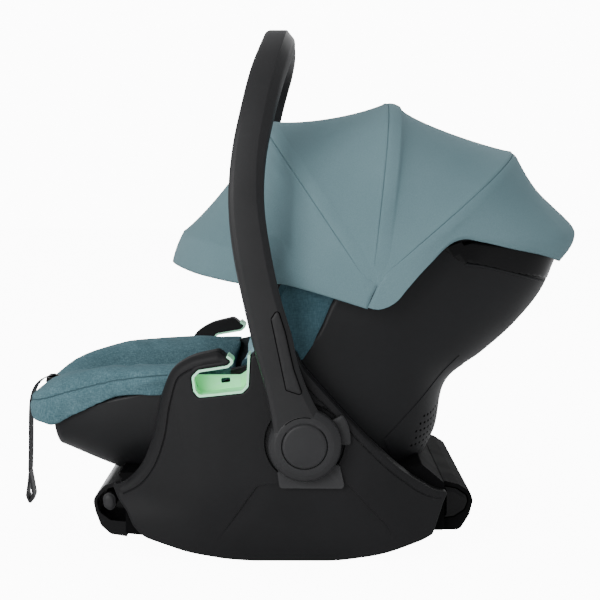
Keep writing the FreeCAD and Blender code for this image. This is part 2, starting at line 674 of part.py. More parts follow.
insert_window = prism([(-84, 60, 0), (110, 60, 0), (118, 156, 0), (30, 306, 0),
                       (-15, 306, 0), (-48, 257, 20), (-72, 214, 20)], -200, 200)
INSERT_WALL = 10.0
insert_form = bucket(CAVITY_STATIONS, GAP)
parts["newborn_insert"] = one(insert_form.cut(
    bucket(CAVITY_STATIONS, GAP + INSERT_WALL, rise=70)).common(insert_window))

headrest = headrest_block(0, 0, HEADREST_LONG)
headrest_pad = headrest_block(4.0, 6, HEADREST_LONG - 6)
parts["headrest_shell"] = one(headrest.cut(headrest_block(3.6, -5, HEADREST_LONG + 5, 60)))
parts["headrest_pad"] = one(headrest_pad.cut(headrest_block(20, -5, HEADREST_LONG + 5, 60)))

# ---------------------------------------------------------------- harness
SHOULDER_PATH = [(108, 180), (84, 139), (28, 111), (12, 112)]
STRAP_Y, STRAP_WIDE = 40.0, 38.0
PAD_WIDE, PAD_THICK = 46.0, 8.0


def strap(path, width, y, thickness=WEBBING, radius=30):
    """Flat webbing along a path in the XZ plane."""
    return band(path, thickness, y - 0.5 * width, y + 0.5 * width, radius)


pair("shoulder_strap", strap(SHOULDER_PATH, STRAP_WIDE, -STRAP_Y))
pad_path = offset_path([(101, 168), (84, 139), (40, 117)], -0.4)
pair("shoulder_pad", strap(pad_path, PAD_WIDE, -STRAP_Y, -PAD_THICK))

BUCKLE_TILT = 24.0
BUCKLE_FOOT = V(-54, 0, 115)


def on_buckle(shape):
    """From the buckle's own frame (X along it, Z out of its face) to its place."""
    shape = shape.copy()
    shape.rotate(V(0, 0, 0), V(0, 1, 0), -BUCKLE_TILT)
    shape.translate(BUCKLE_FOOT)
    return shape


buckle = prism(soft([(0, -21), (44, -27), (44, 27), (0, 21)], 6), 0, 15, "xy")
buckle = buckle.makeFillet(2.5, [e for e in buckle.Edges if e.BoundBox.ZMin > 14.9])
buckle = buckle.cut(prism(soft([(8, -12), (32, -12), (32, 12), (8, 12)], 4), 8, 20, "xy"))
for side in (-1, 1):
    y = 13 * side
    buckle = buckle.cut(Part.makeBox(16, 18, 3.4, V(30, y - 9, 5.3)))
parts["buckle_body"] = on_buckle(one(buckle))
press = prism(soft([(8.6, -11.4), (31.4, -11.4), (31.4, 11.4), (8.6, 11.4)], 3.6), 12.4, 16.6, "xy")
parts["buckle_button"] = on_buckle(press)


def buckle_tongue():
    """Steel tongue in the buckle with a plastic slide bar for the webbing."""
    plate = prism([(33, -20, 0), (33, -6, 0), (44.5, -6, 0), (60, -24, 4), (60, -54, 4),
                   (50, -54, 4), (44.5, -20, 0)], 5.6, 8.2, "xy")
    return on_buckle(one(plate))


pair("buckle_tongue", buckle_tongue())
CROTCH_PATH = [(-59, 123), (-69, 118), (-84, 119)]
parts["crotch_strap"] = strap(CROTCH_PATH, 30, 0, WEBBING)
crotch_pad_path = offset_path([(-65.5, 119.8), (-69, 118), (-84, 119)], -0.4)
parts["crotch_pad"] = strap(crotch_pad_path, 38, 0, -5)

# ---------------------------------------------------------------- files
for name, shape in parts.items():
    shape.exportStep("parts/%s.step" % name)
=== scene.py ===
import json
import math

import bmesh
import bpy
import numpy as np
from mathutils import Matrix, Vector, geometry
from mathutils.bvhtree import BVHTree
from mathutils.kdtree import KDTree

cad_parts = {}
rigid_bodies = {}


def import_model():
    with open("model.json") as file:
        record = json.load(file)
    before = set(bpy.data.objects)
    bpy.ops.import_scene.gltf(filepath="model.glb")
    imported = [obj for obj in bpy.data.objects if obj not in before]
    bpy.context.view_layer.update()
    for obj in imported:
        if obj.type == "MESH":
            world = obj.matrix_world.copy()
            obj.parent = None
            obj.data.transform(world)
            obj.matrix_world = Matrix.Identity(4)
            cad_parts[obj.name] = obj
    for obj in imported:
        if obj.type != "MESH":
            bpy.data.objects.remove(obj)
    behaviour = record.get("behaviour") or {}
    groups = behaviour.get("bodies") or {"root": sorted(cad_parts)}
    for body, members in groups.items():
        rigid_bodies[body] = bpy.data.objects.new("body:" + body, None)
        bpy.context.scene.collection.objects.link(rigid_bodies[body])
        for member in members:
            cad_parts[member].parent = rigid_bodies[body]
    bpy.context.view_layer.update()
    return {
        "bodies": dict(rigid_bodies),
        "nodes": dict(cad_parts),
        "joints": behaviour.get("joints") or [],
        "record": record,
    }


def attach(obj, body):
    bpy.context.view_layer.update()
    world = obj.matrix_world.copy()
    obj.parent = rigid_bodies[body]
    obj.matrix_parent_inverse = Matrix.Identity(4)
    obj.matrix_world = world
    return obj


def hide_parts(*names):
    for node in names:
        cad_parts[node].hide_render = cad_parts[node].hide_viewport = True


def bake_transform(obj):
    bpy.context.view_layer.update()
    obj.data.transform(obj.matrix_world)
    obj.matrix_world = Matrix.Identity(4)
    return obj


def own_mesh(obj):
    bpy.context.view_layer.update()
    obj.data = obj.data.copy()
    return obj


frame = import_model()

SCENE = bpy.context.scene
NODES = frame["nodes"]
MM = 0.001

# Lengths below are in millimetres, in the CAD frame; new_mesh() turns them into metres.
HUB = (5.0, 137.0)                 # carry-handle axis, x and z
PIVOT = (84.0, 308.0)              # canopy axis, x and z
SIDES = (("left", -1), ("right", 1))

# ------------------------------------------------------------------ camera
CAMERA_TARGET = Vector((0.0, 0.0, 0.2765))
CAMERA_DISTANCE = 1.743
CAMERA_ELEVATION = math.radians(5.2)
CAMERA_LENS, CAMERA_SENSOR = 85, 36

camera_data = bpy.data.cameras.new("camera")
camera_data.lens = CAMERA_LENS
camera_data.sensor_width = CAMERA_SENSOR
camera = bpy.data.objects.new("camera", camera_data)
SCENE.collection.objects.link(camera)
away = Vector((0, -math.cos(CAMERA_ELEVATION), math.sin(CAMERA_ELEVATION)))
camera.location = CAMERA_TARGET + away * CAMERA_DISTANCE
camera.rotation_euler = (-away).to_track_quat("-Z", "Y").to_euler()
SCENE.camera = camera

# ------------------------------------------------------------------ curves and meshes


def hermite(knots, values, at):
    """Smooth curve through rows of values placed at knots, read at the given places."""
    knots, values, at = (np.asarray(a, float) for a in (knots, values, at))
    slopes = np.gradient(values, knots, axis=0)
    i = np.clip(np.searchsorted(knots, at, side="right") - 1, 0, len(knots) - 2)
    width = knots[i + 1] - knots[i]
    h = (at - knots[i]) / width
    if values.ndim > 1:
        h, width = h[:, None], width[:, None]
    return (values[i] * (2 * h ** 3 - 3 * h ** 2 + 1) + slopes[i] * width * (h ** 3 - 2 * h ** 2 + h)
            + values[i + 1] * (3 * h ** 2 - 2 * h ** 3) + slopes[i + 1] * width * (h ** 3 - h ** 2))


def travelled(points):
    """Distance along a row of points."""
    steps = np.linalg.norm(np.diff(np.asarray(points, float), axis=0), axis=1)
    return np.concatenate([[0.0], np.cumsum(steps)])


def smooth_path(points, count):
    """Evenly spaced points on a smooth curve through the given ones."""
    marks = travelled(points)
    dense = hermite(marks, points, np.linspace(0, marks[-1], 12 * len(points)))
    marks = travelled(dense)
    places = np.linspace(0, marks[-1], count)
    return np.stack([np.interp(places, marks, column) for column in dense.T], axis=1)


def rounded(corners, spacing=2.0):
    """Closed outline through corners (a, b, radius), with its corners rounded by arcs."""
    result = []
    count = len(corners)
    for i, (a, b, radius) in enumerate(corners):
        here = np.array([a, b], float)
        back = np.array(corners[i - 1][:2], float) - here
        ahead = np.array(corners[(i + 1) % count][:2], float) - here
        room = 0.46 * min(np.linalg.norm(back), np.linalg.norm(ahead))
        back, ahead = back / np.linalg.norm(back), ahead / np.linalg.norm(ahead)
        half = 0.5 * math.acos(float(np.clip(back @ ahead, -1, 1)))
        if radius <= 0 or half > 0.5 * math.pi - 0.005:
            result.append(here)
            continue
        reach = min(radius / math.tan(half), room)
        radius = reach * math.tan(half)
        inward = (back + ahead) / np.linalg.norm(back + ahead)
        middle = here + inward * radius / math.sin(half)
        first, last = here + back * reach - middle, here + ahead * reach - middle
        sweep = math.atan2(first[0] * last[1] - first[1] * last[0], first @ last)
        turns = max(2, int(abs(sweep) * radius / spacing) + 1, int(abs(sweep) / 0.3))
        for k in range(turns + 1):
            turn = sweep * k / turns
            result.append(middle + np.array([first[0] * math.cos(turn) - first[1] * math.sin(turn),
                                             first[0] * math.sin(turn) + first[1] * math.cos(turn)]))
    closed = np.array(result + [result[0]])
    marks = travelled(closed)
    keep = [0]
    for k in range(1, len(closed)):
        gap = marks[k] - marks[keep[-1]]
        if gap > 0.3:
            keep.append(k)
    filled = []
    for p, q in zip(keep, keep[1:] + ([len(closed) - 1] if keep[-1] != len(closed) - 1 else [])):
        pieces = max(1, int(round((marks[q] - marks[p]) / spacing)))
        filled += [closed[p] + (closed[q] - closed[p]) * k / pieces for k in range(pieces)]
    return np.array(filled)


def new_mesh(name, points, faces, smooth=True):
    """A mesh object from points in millimetres."""
    mesh = bpy.data.meshes.new(name)
    mesh.from_pydata((np.asarray(points, float) * MM).tolist(), [], [list(f) for f in faces])
    mesh.validate()
    mesh.update()
    obj = bpy.data.objects.new(name, mesh)
    SCENE.collection.objects.link(obj)
    if smooth:
        mesh.shade_smooth()
    return obj


def grid(name, points, ring=False, loop=False, caps=False):
    """Quads over points[row][column]; ring joins the last column to the first, loop the rows."""
    points = np.asarray(points, float)
    rows, columns = points.shape[:2]
    faces = []
    for i in range(rows if loop else rows - 1):
        for j in range(columns if ring else columns - 1):
            after, beside = (i + 1) % rows, (j + 1) % columns
            faces.append((i * columns + j, i * columns + beside,
                          after * columns + beside, after * columns + j))
    if caps:
        faces.append(range(columns - 1, -1, -1))
        faces.append(range((rows - 1) * columns, rows * columns))
    return new_mesh(name, points.reshape(-1, 3), faces)


def outward(obj):
    """Turn every face to look outwards."""
    work = bmesh.new()
    work.from_mesh(obj.data)
    bmesh.ops.remove_doubles(work, verts=work.verts, dist=0.00002)
    bmesh.ops.recalc_face_normals(work, faces=work.faces)
    work.to_mesh(obj.data)
    work.free()
    obj.data.update()
    return obj


def solidify(obj, thickness):
    """Give an open surface a wall on its inner side, thickness in millimetres."""
    wall = obj.modifiers.new("wall", "SOLIDIFY")
    wall.thickness = thickness * MM
    wall.offset = -1.0
    wall.use_even_offset = True


def bevel(obj, width):
    """Round the sharp edges of a rigid piece, width in millimetres."""
    edge = obj.modifiers.new("edge", "BEVEL")
    edge.width = width * MM
    edge.segments = 3
    edge.limit_method = "ANGLE"
    edge.angle_limit = math.radians(35)
    edge.harden_normals = False


def shade_by_angle(obj, degrees):
    """Smooth shading except over edges sharper than an angle."""
    work = bmesh.new()
    work.from_mesh(obj.data)
    limit = math.radians(degrees)
    for edge in work.edges:
        edge.smooth = len(edge.link_faces) == 2 and edge.calc_face_angle(0) < limit
    for face in work.faces:
        face.smooth = True
    work.to_mesh(obj.data)
    work.free()


def apply_modifiers(obj):
    """Replace a mesh by what its modifiers make of it."""
    bpy.context.view_layer.update()
    evaluated = obj.evaluated_get(bpy.context.evaluated_depsgraph_get())
    mesh = bpy.data.meshes.new_from_object(evaluated)
    obj.modifiers.clear()
    obj.data = mesh
    return obj


def surface_of(obj):
    """A lookup of a piece's surface, for rays and nearest points, in metres."""
    depsgraph = bpy.context.evaluated_depsgraph_get()
    return BVHTree.FromObject(obj, depsgraph)


def dress(obj, body, material, replaces=()):
    """Ride a body, take a material and a slot, and stand for CAD nodes."""
    obj.data.materials.clear()
    obj.data.materials.append(material)
    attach(obj, body)
    if replaces:
        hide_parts(*replaces)


# ------------------------------------------------------------------ materials


def shader_nodes(name, color, roughness, metallic=0.0):
    material = bpy.data.materials.new(name)
    material.use_nodes = True
    tree = material.node_tree
    shader = tree.nodes["Principled BSDF"]
    shader.inputs["Base Color"].default_value = (*color, 1)
    shader.inputs["Roughness"].default_value = roughness
    shader.inputs["Metallic"].default_value = metallic
    place = tree.nodes.new("ShaderNodeTexCoord")
    return material, tree, shader, place.outputs["Object"]


def noise(tree, place, scale, detail=2.0, stretch=None):
    """Noise texture; scale is in grains per metre and stretch squeezes it along an axis."""
    if stretch:
        mapping = tree.nodes.new("ShaderNodeMapping")
        mapping.inputs["Scale"].default_value = stretch
        tree.links.new(place, mapping.inputs["Vector"])
        place = mapping.outputs["Vector"]
    texture = tree.nodes.new("ShaderNodeTexNoise")
    texture.inputs["Scale"].default_value = scale
    texture.inputs["Detail"].default_value = detail
    tree.links.new(place, texture.inputs["Vector"])
    return texture.outputs["Fac"]


def threads(tree, place, scale, axis):
    """Even ridges across one axis: yarns side by side."""
    wave = tree.nodes.new("ShaderNodeTexWave")
    wave.wave_type = "BANDS"
    wave.bands_direction = axis
    wave.inputs["Scale"].default_value = scale
    wave.inputs["Distortion"].default_value = 0.6
    wave.inputs["Detail"].default_value = 1.0
    wave.inputs["Detail Scale"].default_value = 2.0
    tree.links.new(place, wave.inputs["Vector"])
    return wave.outputs["Fac"]


def ranged(tree, value, low, high, start=0.0, end=1.0):
    """Map a 0 to 1 texture onto low to high."""
    node = tree.nodes.new("ShaderNodeMapRange")
    node.inputs["From Min"].default_value = start
    node.inputs["From Max"].default_value = end
    node.inputs["To Min"].default_value = low
    node.inputs["To Max"].default_value = high
    tree.links.new(value, node.inputs["Value"])
    return node.outputs["Result"]


def combined(tree, first, second, how="ADD"):
    node = tree.nodes.new("ShaderNodeMath")
    node.operation = how
    tree.links.new(first, node.inputs[0])
    tree.links.new(second, node.inputs[1])
    return node.outputs["Value"]


def tinted(tree, shader, value, dark, light):
    """Base colour between two tones, by a texture."""
    node = tree.nodes.new("ShaderNodeMix")
    node.data_type = "RGBA"
    node.inputs["A"].default_value = (*dark, 1)
    node.inputs["B"].default_value = (*light, 1)
    tree.links.new(value, node.inputs["Factor"])
    tree.links.new(node.outputs["Result"], shader.inputs["Base Color"])


def bumped(tree, shader, height, strength, depth_mm):
    node = tree.nodes.new("ShaderNodeBump")
    node.inputs["Strength"].default_value = strength
    node.inputs["Distance"].default_value = depth_mm * MM
    tree.links.new(height, node.inputs["Height"])
    tree.links.new(node.outputs["Normal"], shader.inputs["Normal"])


def lightened(color, lift):
    return tuple(min(c * lift, 1.0) for c in color)


def moulded(name, color, roughness, grain=0.25, specular=0.4, coat=0.0):
    """Moulded plastic: fine spark-eroded grain, uneven sheen, lighter cloudy patches and lighter sharp
    convex edges.
    """
    material, tree, shader, place = shader_nodes(name, color, roughness)
    shader.inputs["Specular IOR Level"].default_value = specular
    shader.inputs["Coat Weight"].default_value = coat
    shader.inputs["Coat Roughness"].default_value = 0.12
    fine = noise(tree, place, 1500, 3)
    patches = noise(tree, place, 14, 4)
    bumped(tree, shader, fine, grain, 0.12)
    tree.links.new(ranged(tree, patches, roughness - 0.05, roughness + 0.07, 0.3, 0.7),
                   shader.inputs["Roughness"])
    # The colour lightens on sharp convex edges and in cloudy patches.
    edges = tree.nodes.new("ShaderNodeNewGeometry")
    lighter_edges = ranged(tree, edges.outputs["Pointiness"], 0.0, 0.55, 0.52, 0.62)
    cloudy = ranged(tree, patches, 0.0, 0.3, 0.35, 0.75)
    tinted(tree, shader, combined(tree, lighter_edges, cloudy, "MAXIMUM"), color, lightened(color, 1.9))
    return material


def melange(name, dark, light, roughness=0.92, yarn=900.0):
    """Two-tone woven upholstery: crossed yarns, flecks of a lighter and a darker thread."""
    material, tree, shader, place = shader_nodes(name, light, roughness)
    shader.inputs["Sheen Weight"].default_value = 0.25
    shader.inputs["Sheen Roughness"].default_value = 0.5
    shader.inputs["Sheen Tint"].default_value = (*light, 1)
    shader.inputs["Specular IOR Level"].default_value = 0.2
    along = noise(tree, place, yarn, 2, (0.22, 1.0, 1.0))
    upward = noise(tree, place, yarn, 2, (1.0, 1.0, 0.22))
    flecks = combined(tree, along, upward, "MULTIPLY")
    soft_patches = noise(tree, place, 26, 3)
    tone = combined(tree, ranged(tree, flecks, 0.15, 0.85, 0.1, 0.42),
                    ranged(tree, soft_patches, -0.1, 0.1, 0.3, 0.7))
    tinted(tree, shader, tone, dark, light)
    weave = combined(tree, threads(tree, place, yarn * 0.45, "X"),
                     threads(tree, place, yarn * 0.45, "Z"))
    bumped(tree, shader, combined(tree, weave, along), 0.35, 0.25)
    return material


def plain_weave(name, color, lighter, roughness=0.85, yarn=520.0, sheen=0.3):
    """Close plain weave with a soft sheen, for the canopy and linings."""
    material, tree, shader, place = shader_nodes(name, color, roughness)
    shader.inputs["Sheen Weight"].default_value = sheen
    shader.inputs["Sheen Roughness"].default_value = 0.4
    shader.inputs["Sheen Tint"].default_value = (*lighter, 1)
    shader.inputs["Specular IOR Level"].default_value = 0.25
    fine = noise(tree, place, yarn * 2.2, 2)
    broad = noise(tree, place, 9, 3)
    tinted(tree, shader, combined(tree, ranged(tree, fine, 0.0, 0.6, 0.3, 0.7),
                                  ranged(tree, broad, -0.15, 0.35, 0.3, 0.7)), color, lighter)
    weave = combined(tree, threads(tree, place, yarn, "X"), threads(tree, place, yarn, "Z"))
    bumped(tree, shader, weave, 0.22, 0.14)
    return material


def twill_webbing(name, color):
    """Harness webbing: slanting ribs and a faint sheen."""
    material, tree, shader, place = shader_nodes(name, color, 0.62)
    shader.inputs["Sheen Weight"].default_value = 0.2
    ribs = threads(tree, place, 420, "DIAGONAL")
    bumped(tree, shader, ribs, 0.6, 0.4)
    # Lighter on the rib crests and darker in the grooves: painted light and shade on the ribs.
    tinted(tree, shader, ribs, color, lightened(color, 1.8))
    return material


def brushed_steel(name):
    material, tree, shader, place = shader_nodes(name, (0.55, 0.56, 0.58), 0.3, 1.0)
    streaks = noise(tree, place, 300, 3, (1.0, 0.04, 1.0))
    tree.links.new(ranged(tree, streaks, 0.2, 0.42), shader.inputs["Roughness"])
    bumped(tree, shader, streaks, 0.15, 0.05)
    return material


# Near-black bead foam: partly the foam's own colour, partly painted shade, so that where the liner
# shows past the insert it reads as shade.
def beaded_foam(name):
    material, tree, shader, place = shader_nodes(name, (0.02, 0.03, 0.034), 0.9)
    cells = tree.nodes.new("ShaderNodeTexVoronoi")
    cells.inputs["Scale"].default_value = 260
    tree.links.new(place, cells.inputs["Vector"])
    bumped(tree, shader, cells.outputs["Distance"], 0.6, 0.6)
    tinted(tree, shader, cells.outputs["Distance"], (0.022, 0.032, 0.036), (0.009, 0.013, 0.015))
    return material


SHELL_BLACK = moulded("shell_black_plastic", (0.0066, 0.0068, 0.0075), 0.46, 0.15, 0.2)
PANEL_BLACK = moulded("panel_black_plastic", (0.0072, 0.0072, 0.0078), 0.52, 0.2, 0.16)
HANDLE_BLACK = moulded("handle_black_plastic", (0.0138, 0.0138, 0.0145), 0.45, 0.2, 0.2)
HUB_BLACK = moulded("hub_black_plastic", (0.0185, 0.0185, 0.0195), 0.42, 0.18, 0.2)
GLOSS_BLACK = moulded("gloss_black_plastic", (0.0022, 0.0022, 0.0025), 0.2, 0.03, 0.14, 0.04)
DOCK_BLACK = moulded("dock_black_plastic", (0.0022, 0.0022, 0.0024), 0.62, 0.1, 0.03)
# Near-black for painted shade: thin lines in gaps and a sheet behind the vent holes.
PAINTED_SHADE_BLACK = moulded("painted_shade_black", (0.0008, 0.0008, 0.0008), 0.8, 0.0, 0.02)
BRACKET_GREY = moulded("bracket_grey_plastic", (0.02, 0.02, 0.021), 0.5, 0.2, 0.22)
MINT = moulded("mint_plastic", (0.33, 0.98, 0.45), 0.5, 0.08, 0.2)
BOW_GREY = moulded("bow_grey_plastic", (0.05, 0.05, 0.052), 0.5, 0.2)
KEY_RED = moulded("key_red_plastic", (0.42, 0.012, 0.012), 0.35, 0.08)
STEEL = brushed_steel("brushed_steel")
COATED_STEEL = moulded("black_coated_steel", (0.035, 0.035, 0.037), 0.35, 0.1, 0.4)
FOAM = beaded_foam("beaded_foam")
CANOPY_CLOTH = plain_weave("canopy_weave", (0.1, 0.17, 0.19), (0.135, 0.215, 0.238))
SEAT_CLOTH = melange("seat_melange", (0.03, 0.075, 0.09), (0.115, 0.205, 0.235))
WING_CLOTH = melange("wing_melange", (0.022, 0.055, 0.07), (0.055, 0.115, 0.14))
INSERT_CLOTH = plain_weave("insert_weave", (0.19, 0.33, 0.38), (0.27, 0.42, 0.47), sheen=0.4)
PAD_CLOTH = melange("pad_melange", (0.02, 0.035, 0.042), (0.06, 0.1, 0.115))
THREAD = plain_weave("sewing_thread", (0.03, 0.065, 0.078), (0.045, 0.09, 0.105), yarn=1500.0)
WEBBING = twill_webbing("harness_webbing", (0.016, 0.016, 0.018))

# ------------------------------------------------------------------ adjuster strap (the cord)
# The same route as in the CAD model, now in metres: out of the plate and down over the lip.
PULL_ROUTE = [(-0.305, 0, 0.184), (-0.316, 0, 0.181), (-0.326, 0, 0.172), (-0.3315, 0, 0.157),
              (-0.333, 0, 0.138), (-0.3335, 0, 0.114), (-0.334, 0, 0.09), (-0.335, 0, 0.066)]
PULL_WIDE, PULL_THICK = 0.020, 0.0016


def spline_points(route):
    """The points of the smooth line that a route's control points shape."""
    data = bpy.data.curves.new("route", "CURVE")
    data.dimensions = "3D"
    data.resolution_u = 12
    line = data.splines.new("NURBS")
    line.points.add(len(route) - 1)
    for point, place in zip(line.points, route):
        point.co = (*place, 1)
    line.order_u = 3
    line.use_endpoint_u = True
    holder = bpy.data.objects.new("route", data)
    mesh = bpy.data.meshes.new_from_object(holder)
    points = np.array([v.co for v in mesh.vertices])
    bpy.data.objects.remove(holder)
    bpy.data.meshes.remove(mesh)
    return points


def ribbon(name, path, wide, thick, across=(0, 1, 0)):
    """Flat webbing of rounded section along a path; all in millimetres."""
    path = np.asarray(path, float)
    along = np.gradient(path, axis=0)
    along /= np.linalg.norm(along, axis=1)[:, None]
    across = np.asarray(across, float)
    normal = np.cross(along, across)
    normal /= np.linalg.norm(normal, axis=1)[:, None]
    half, flat = 0.5 * wide, 0.5 * thick
    shares = np.linspace(-1, 1, 15)
    top = [(half * s, flat * (1 - 0.75 * abs(s) ** 10)) for s in shares]
    low = [(half * s, -flat * (1 - 0.75 * abs(s) ** 10)) for s in shares[::-1]]
    rings = [[p + across * a + n * b for a, b in top + low] for p, n in zip(path, normal)]
    return outward(grid(name, rings, ring=True, caps=True))


pull_path = spline_points(PULL_ROUTE)
PULL_TWIST = math.radians(7)       # the strap hangs a little turned
adjuster_strap = ribbon("adjuster_strap_webbing", pull_path / MM, PULL_WIDE / MM, PULL_THICK / MM,
                        (math.sin(PULL_TWIST), math.cos(PULL_TWIST), 0))
dress(adjuster_strap, "shell", WEBBING, ["adjuster_strap"])

# ------------------------------------------------------------------ floor and light
world = bpy.data.worlds.new("studio")
SCENE.world = world
world.use_nodes = True
sky = world.node_tree
background = sky.nodes["Background"]
background.inputs["Color"].default_value = (0.97, 0.98, 1.0, 1)
background.inputs["Strength"].default_value = 0.68
backdrop = sky.nodes.new("ShaderNodeBackground")
backdrop.inputs["Color"].default_value = (1, 1, 1, 1)
backdrop.inputs["Strength"].default_value = 12.0


def seen_directly(tree, indirect, direct):
    """A mix of two shaders: the second is what the camera itself sees."""
    mix = tree.nodes.new("ShaderNodeMixShader")
    tree.links.new(tree.nodes.new("ShaderNodeLightPath").outputs["Is Camera Ray"], mix.inputs[0])
    tree.links.new(indirect, mix.inputs[1])
    tree.links.new(direct, mix.inputs[2])
    return mix.outputs[0]


sky.links.new(seen_directly(sky, background.outputs[0], backdrop.outputs[0]),
              sky.nodes["World Output"].inputs["Surface"])


def area_light(name, place, target, size, power):
    data = bpy.data.lights.new(name, "AREA")
    data.shape = "RECTANGLE"
    data.size, data.size_y = size
    data.energy = power
    light = bpy.data.objects.new(name, data)
    light.location = place
    light.rotation_euler = (Vector(target) - Vector(place)).to_track_quat("-Z", "Y").to_euler()
    SCENE.collection.objects.link(light)


area_light("key", (-1.5, -2.4, 1.1), (0, 0, 0.3), (1.8, 1.4), 70)
area_light("top", (-0.3, 0.0, 2.5), (0, 0, 0.2), (2.4, 2.0), 10)
area_light("fill", (2.1, -1.6, 0.7), (0, 0, 0.25), (1.2, 1.6), 2)
area_light("rim", (1.1, 1.9, 1.4), (0, 0, 0.35), (1.6, 1.0), 8)

floor = new_mesh("floor", [(-9000, -9000, 0), (9000, -9000, 0), (9000, 9000, 0),
                           (-9000, 9000, 0)], [(0, 1, 2, 3)], smooth=False)
floor_paint, floor_tree, floor_shader, _ = shader_nodes("floor_paint", (0.93, 0.93, 0.93), 0.8)
glow = floor_tree.nodes.new("ShaderNodeEmission")
glow.inputs["Strength"].default_value = 11.0
lit = floor_tree.nodes.new("ShaderNodeAddShader")
floor_tree.links.new(floor_shader.outputs[0], lit.inputs[0])
floor_tree.links.new(glow.outputs[0], lit.inputs[1])
floor_tree.links.new(seen_directly(floor_tree, floor_shader.outputs[0], lit.outputs[0]),
                     floor_tree.nodes["Material Output"].inputs["Surface"])
floor.data.materials.append(floor_paint)

# ------------------------------------------------------------------ seat shell
# Stations of the bucket: rim x, rim z, low x, low z, half width.
SHELL_STATIONS = [
    (-286, 150, -280, 108, 112), (-240, 168, -236, 88, 128), (-180, 184, -165, 62, 140),
    (-100, 206, -75, 42, 152), (-15, 228, 25, 36, 158), (18, 252, 112, 56, 160),
    (38, 292, 160, 122, 160), (66, 336, 176, 186, 160), (110, 372, 218, 218, 155),
    (172, 396, 259, 255, 143), (246, 392, 290, 296, 122), (302, 352, 303, 334, 92),
]
SHELL_SQUARENESS = 0.6
OUTSIDE = 400.0                    # a y well outside the seat, for rays
SHELL_WALL = 4.0


def bucket_surface(stations, rows, columns):
    """U-shaped sections from rim to rim, evenly placed along a bucket."""
    stations = np.array(stations, float)
    marks = travelled(stations[:, 2:4])
    lines = hermite(marks, stations, np.linspace(0, marks[-1], rows))
    result = []
    for rim_x, rim_z, low_x, low_z, half in lines:
        depth = math.hypot(low_x - rim_x, low_z - rim_z)
        down = np.array([low_x - rim_x, low_z - rim_z]) / depth
        turn = math.pi * np.linspace(0, 1, columns)
        across = np.sign(np.cos(turn)) * np.abs(np.cos(turn)) ** SHELL_SQUARENESS
        fall = depth * np.sin(turn) ** (SHELL_SQUARENESS + 0.15)
        result.append(np.stack([rim_x + down[0] * fall, -half * across,
                                rim_z + down[1] * fall], axis=1))
    return np.array(result)


def respaced(rows):
    """The same sections with their points evenly spaced along each."""
    result = []
    for row in rows:
        marks = travelled(row)
        places = np.linspace(0, marks[-1], len(row))
        result.append(np.stack([np.interp(places, marks, c) for c in row.T], axis=1))
    return np.array(result)


shell = outward(grid("seat_shell_moulding", respaced(bucket_surface(SHELL_STATIONS, 110, 97)),
                     caps=True))
SHELL_SURFACE = surface_of(shell)
shell_skin = shell.data.copy()
solidify(shell, SHELL_WALL)
dress(shell, "shell", SHELL_BLACK, ["seat_shell"])


def hit(surface, x, z, side):
    """Where a line along Y first meets a surface: the point and the outward normal, in mm."""
    origin = Vector((x * MM, side * OUTSIDE * MM, z * MM))
    place, normal, _, _ = surface.ray_cast(origin, Vector((0, -side, 0)))
    if place is None:
        return None, None
    normal = np.array(normal)
    if normal[1] * side < 0:
        normal = -normal
    return np.array(place) / MM, normal


# ------------------------------------------------------------------ plates with relief


def inside(points, polygon):
    """Which points (x, z) lie inside a closed polygon."""
    x, z = points[:, 0], points[:, 1]
    result = np.zeros(len(points), bool)
    for (xa, za), (xb, zb) in zip(polygon, np.roll(polygon, -1, axis=0)):
        crosses = (za > z) != (zb > z)
        if za != zb:
            result ^= crosses & (x < (xb - xa) * (z - za) / (zb - za) + xa)
    return result


def distance_to(points, line, closed=True):
    """Distance from each point to a polyline."""
    points, line = np.asarray(points, float), np.asarray(line, float)
    best = np.full(len(points), 1e9)
    ends = np.roll(line, -1, axis=0) if closed else line[1:]
    for a, b in zip(line if closed else line[:-1], ends):
        run = b - a
        size = max(run @ run, 1e-12)
        share = np.clip(((points - a) @ run) / size, 0, 1)
        best = np.minimum(best, np.linalg.norm(points - a - share[:, None] * run, axis=1))
    return best


def ring_points(polygon, distance):
    """A closed polygon moved inwards, leaving out what would cross itself."""
    ahead, back = np.roll(polygon, -1, axis=0), np.roll(polygon, 1, axis=0)
    run = ahead - back
    normal = np.stack([-run[:, 1], run[:, 0]], axis=1) / np.linalg.norm(run, axis=1)[:, None]
    area = np.sum(polygon[:, 0] * ahead[:, 1] - ahead[:, 0] * polygon[:, 1])
    moved = polygon + normal * distance * (1 if area > 0 else -1)
    return moved[distance_to(moved, polygon) > distance * 0.97]


def triangulated(polygon, extra):
    """Triangles over a polygon and loose points inside it: points, faces."""
    points = list(map(tuple, polygon)) + list(map(tuple, extra))
    edges = [(k, (k + 1) % len(polygon)) for k in range(len(polygon))]
    made = geometry.delaunay_2d_cdt([Vector(p) for p in points], edges, [], 0, 1e-4)
    flat = np.array([(p.x, p.y) for p in made[0]])
    faces = np.array([f for f in made[2] if len(f) == 3])
    return flat, faces[inside(flat[faces].mean(axis=1), polygon)]


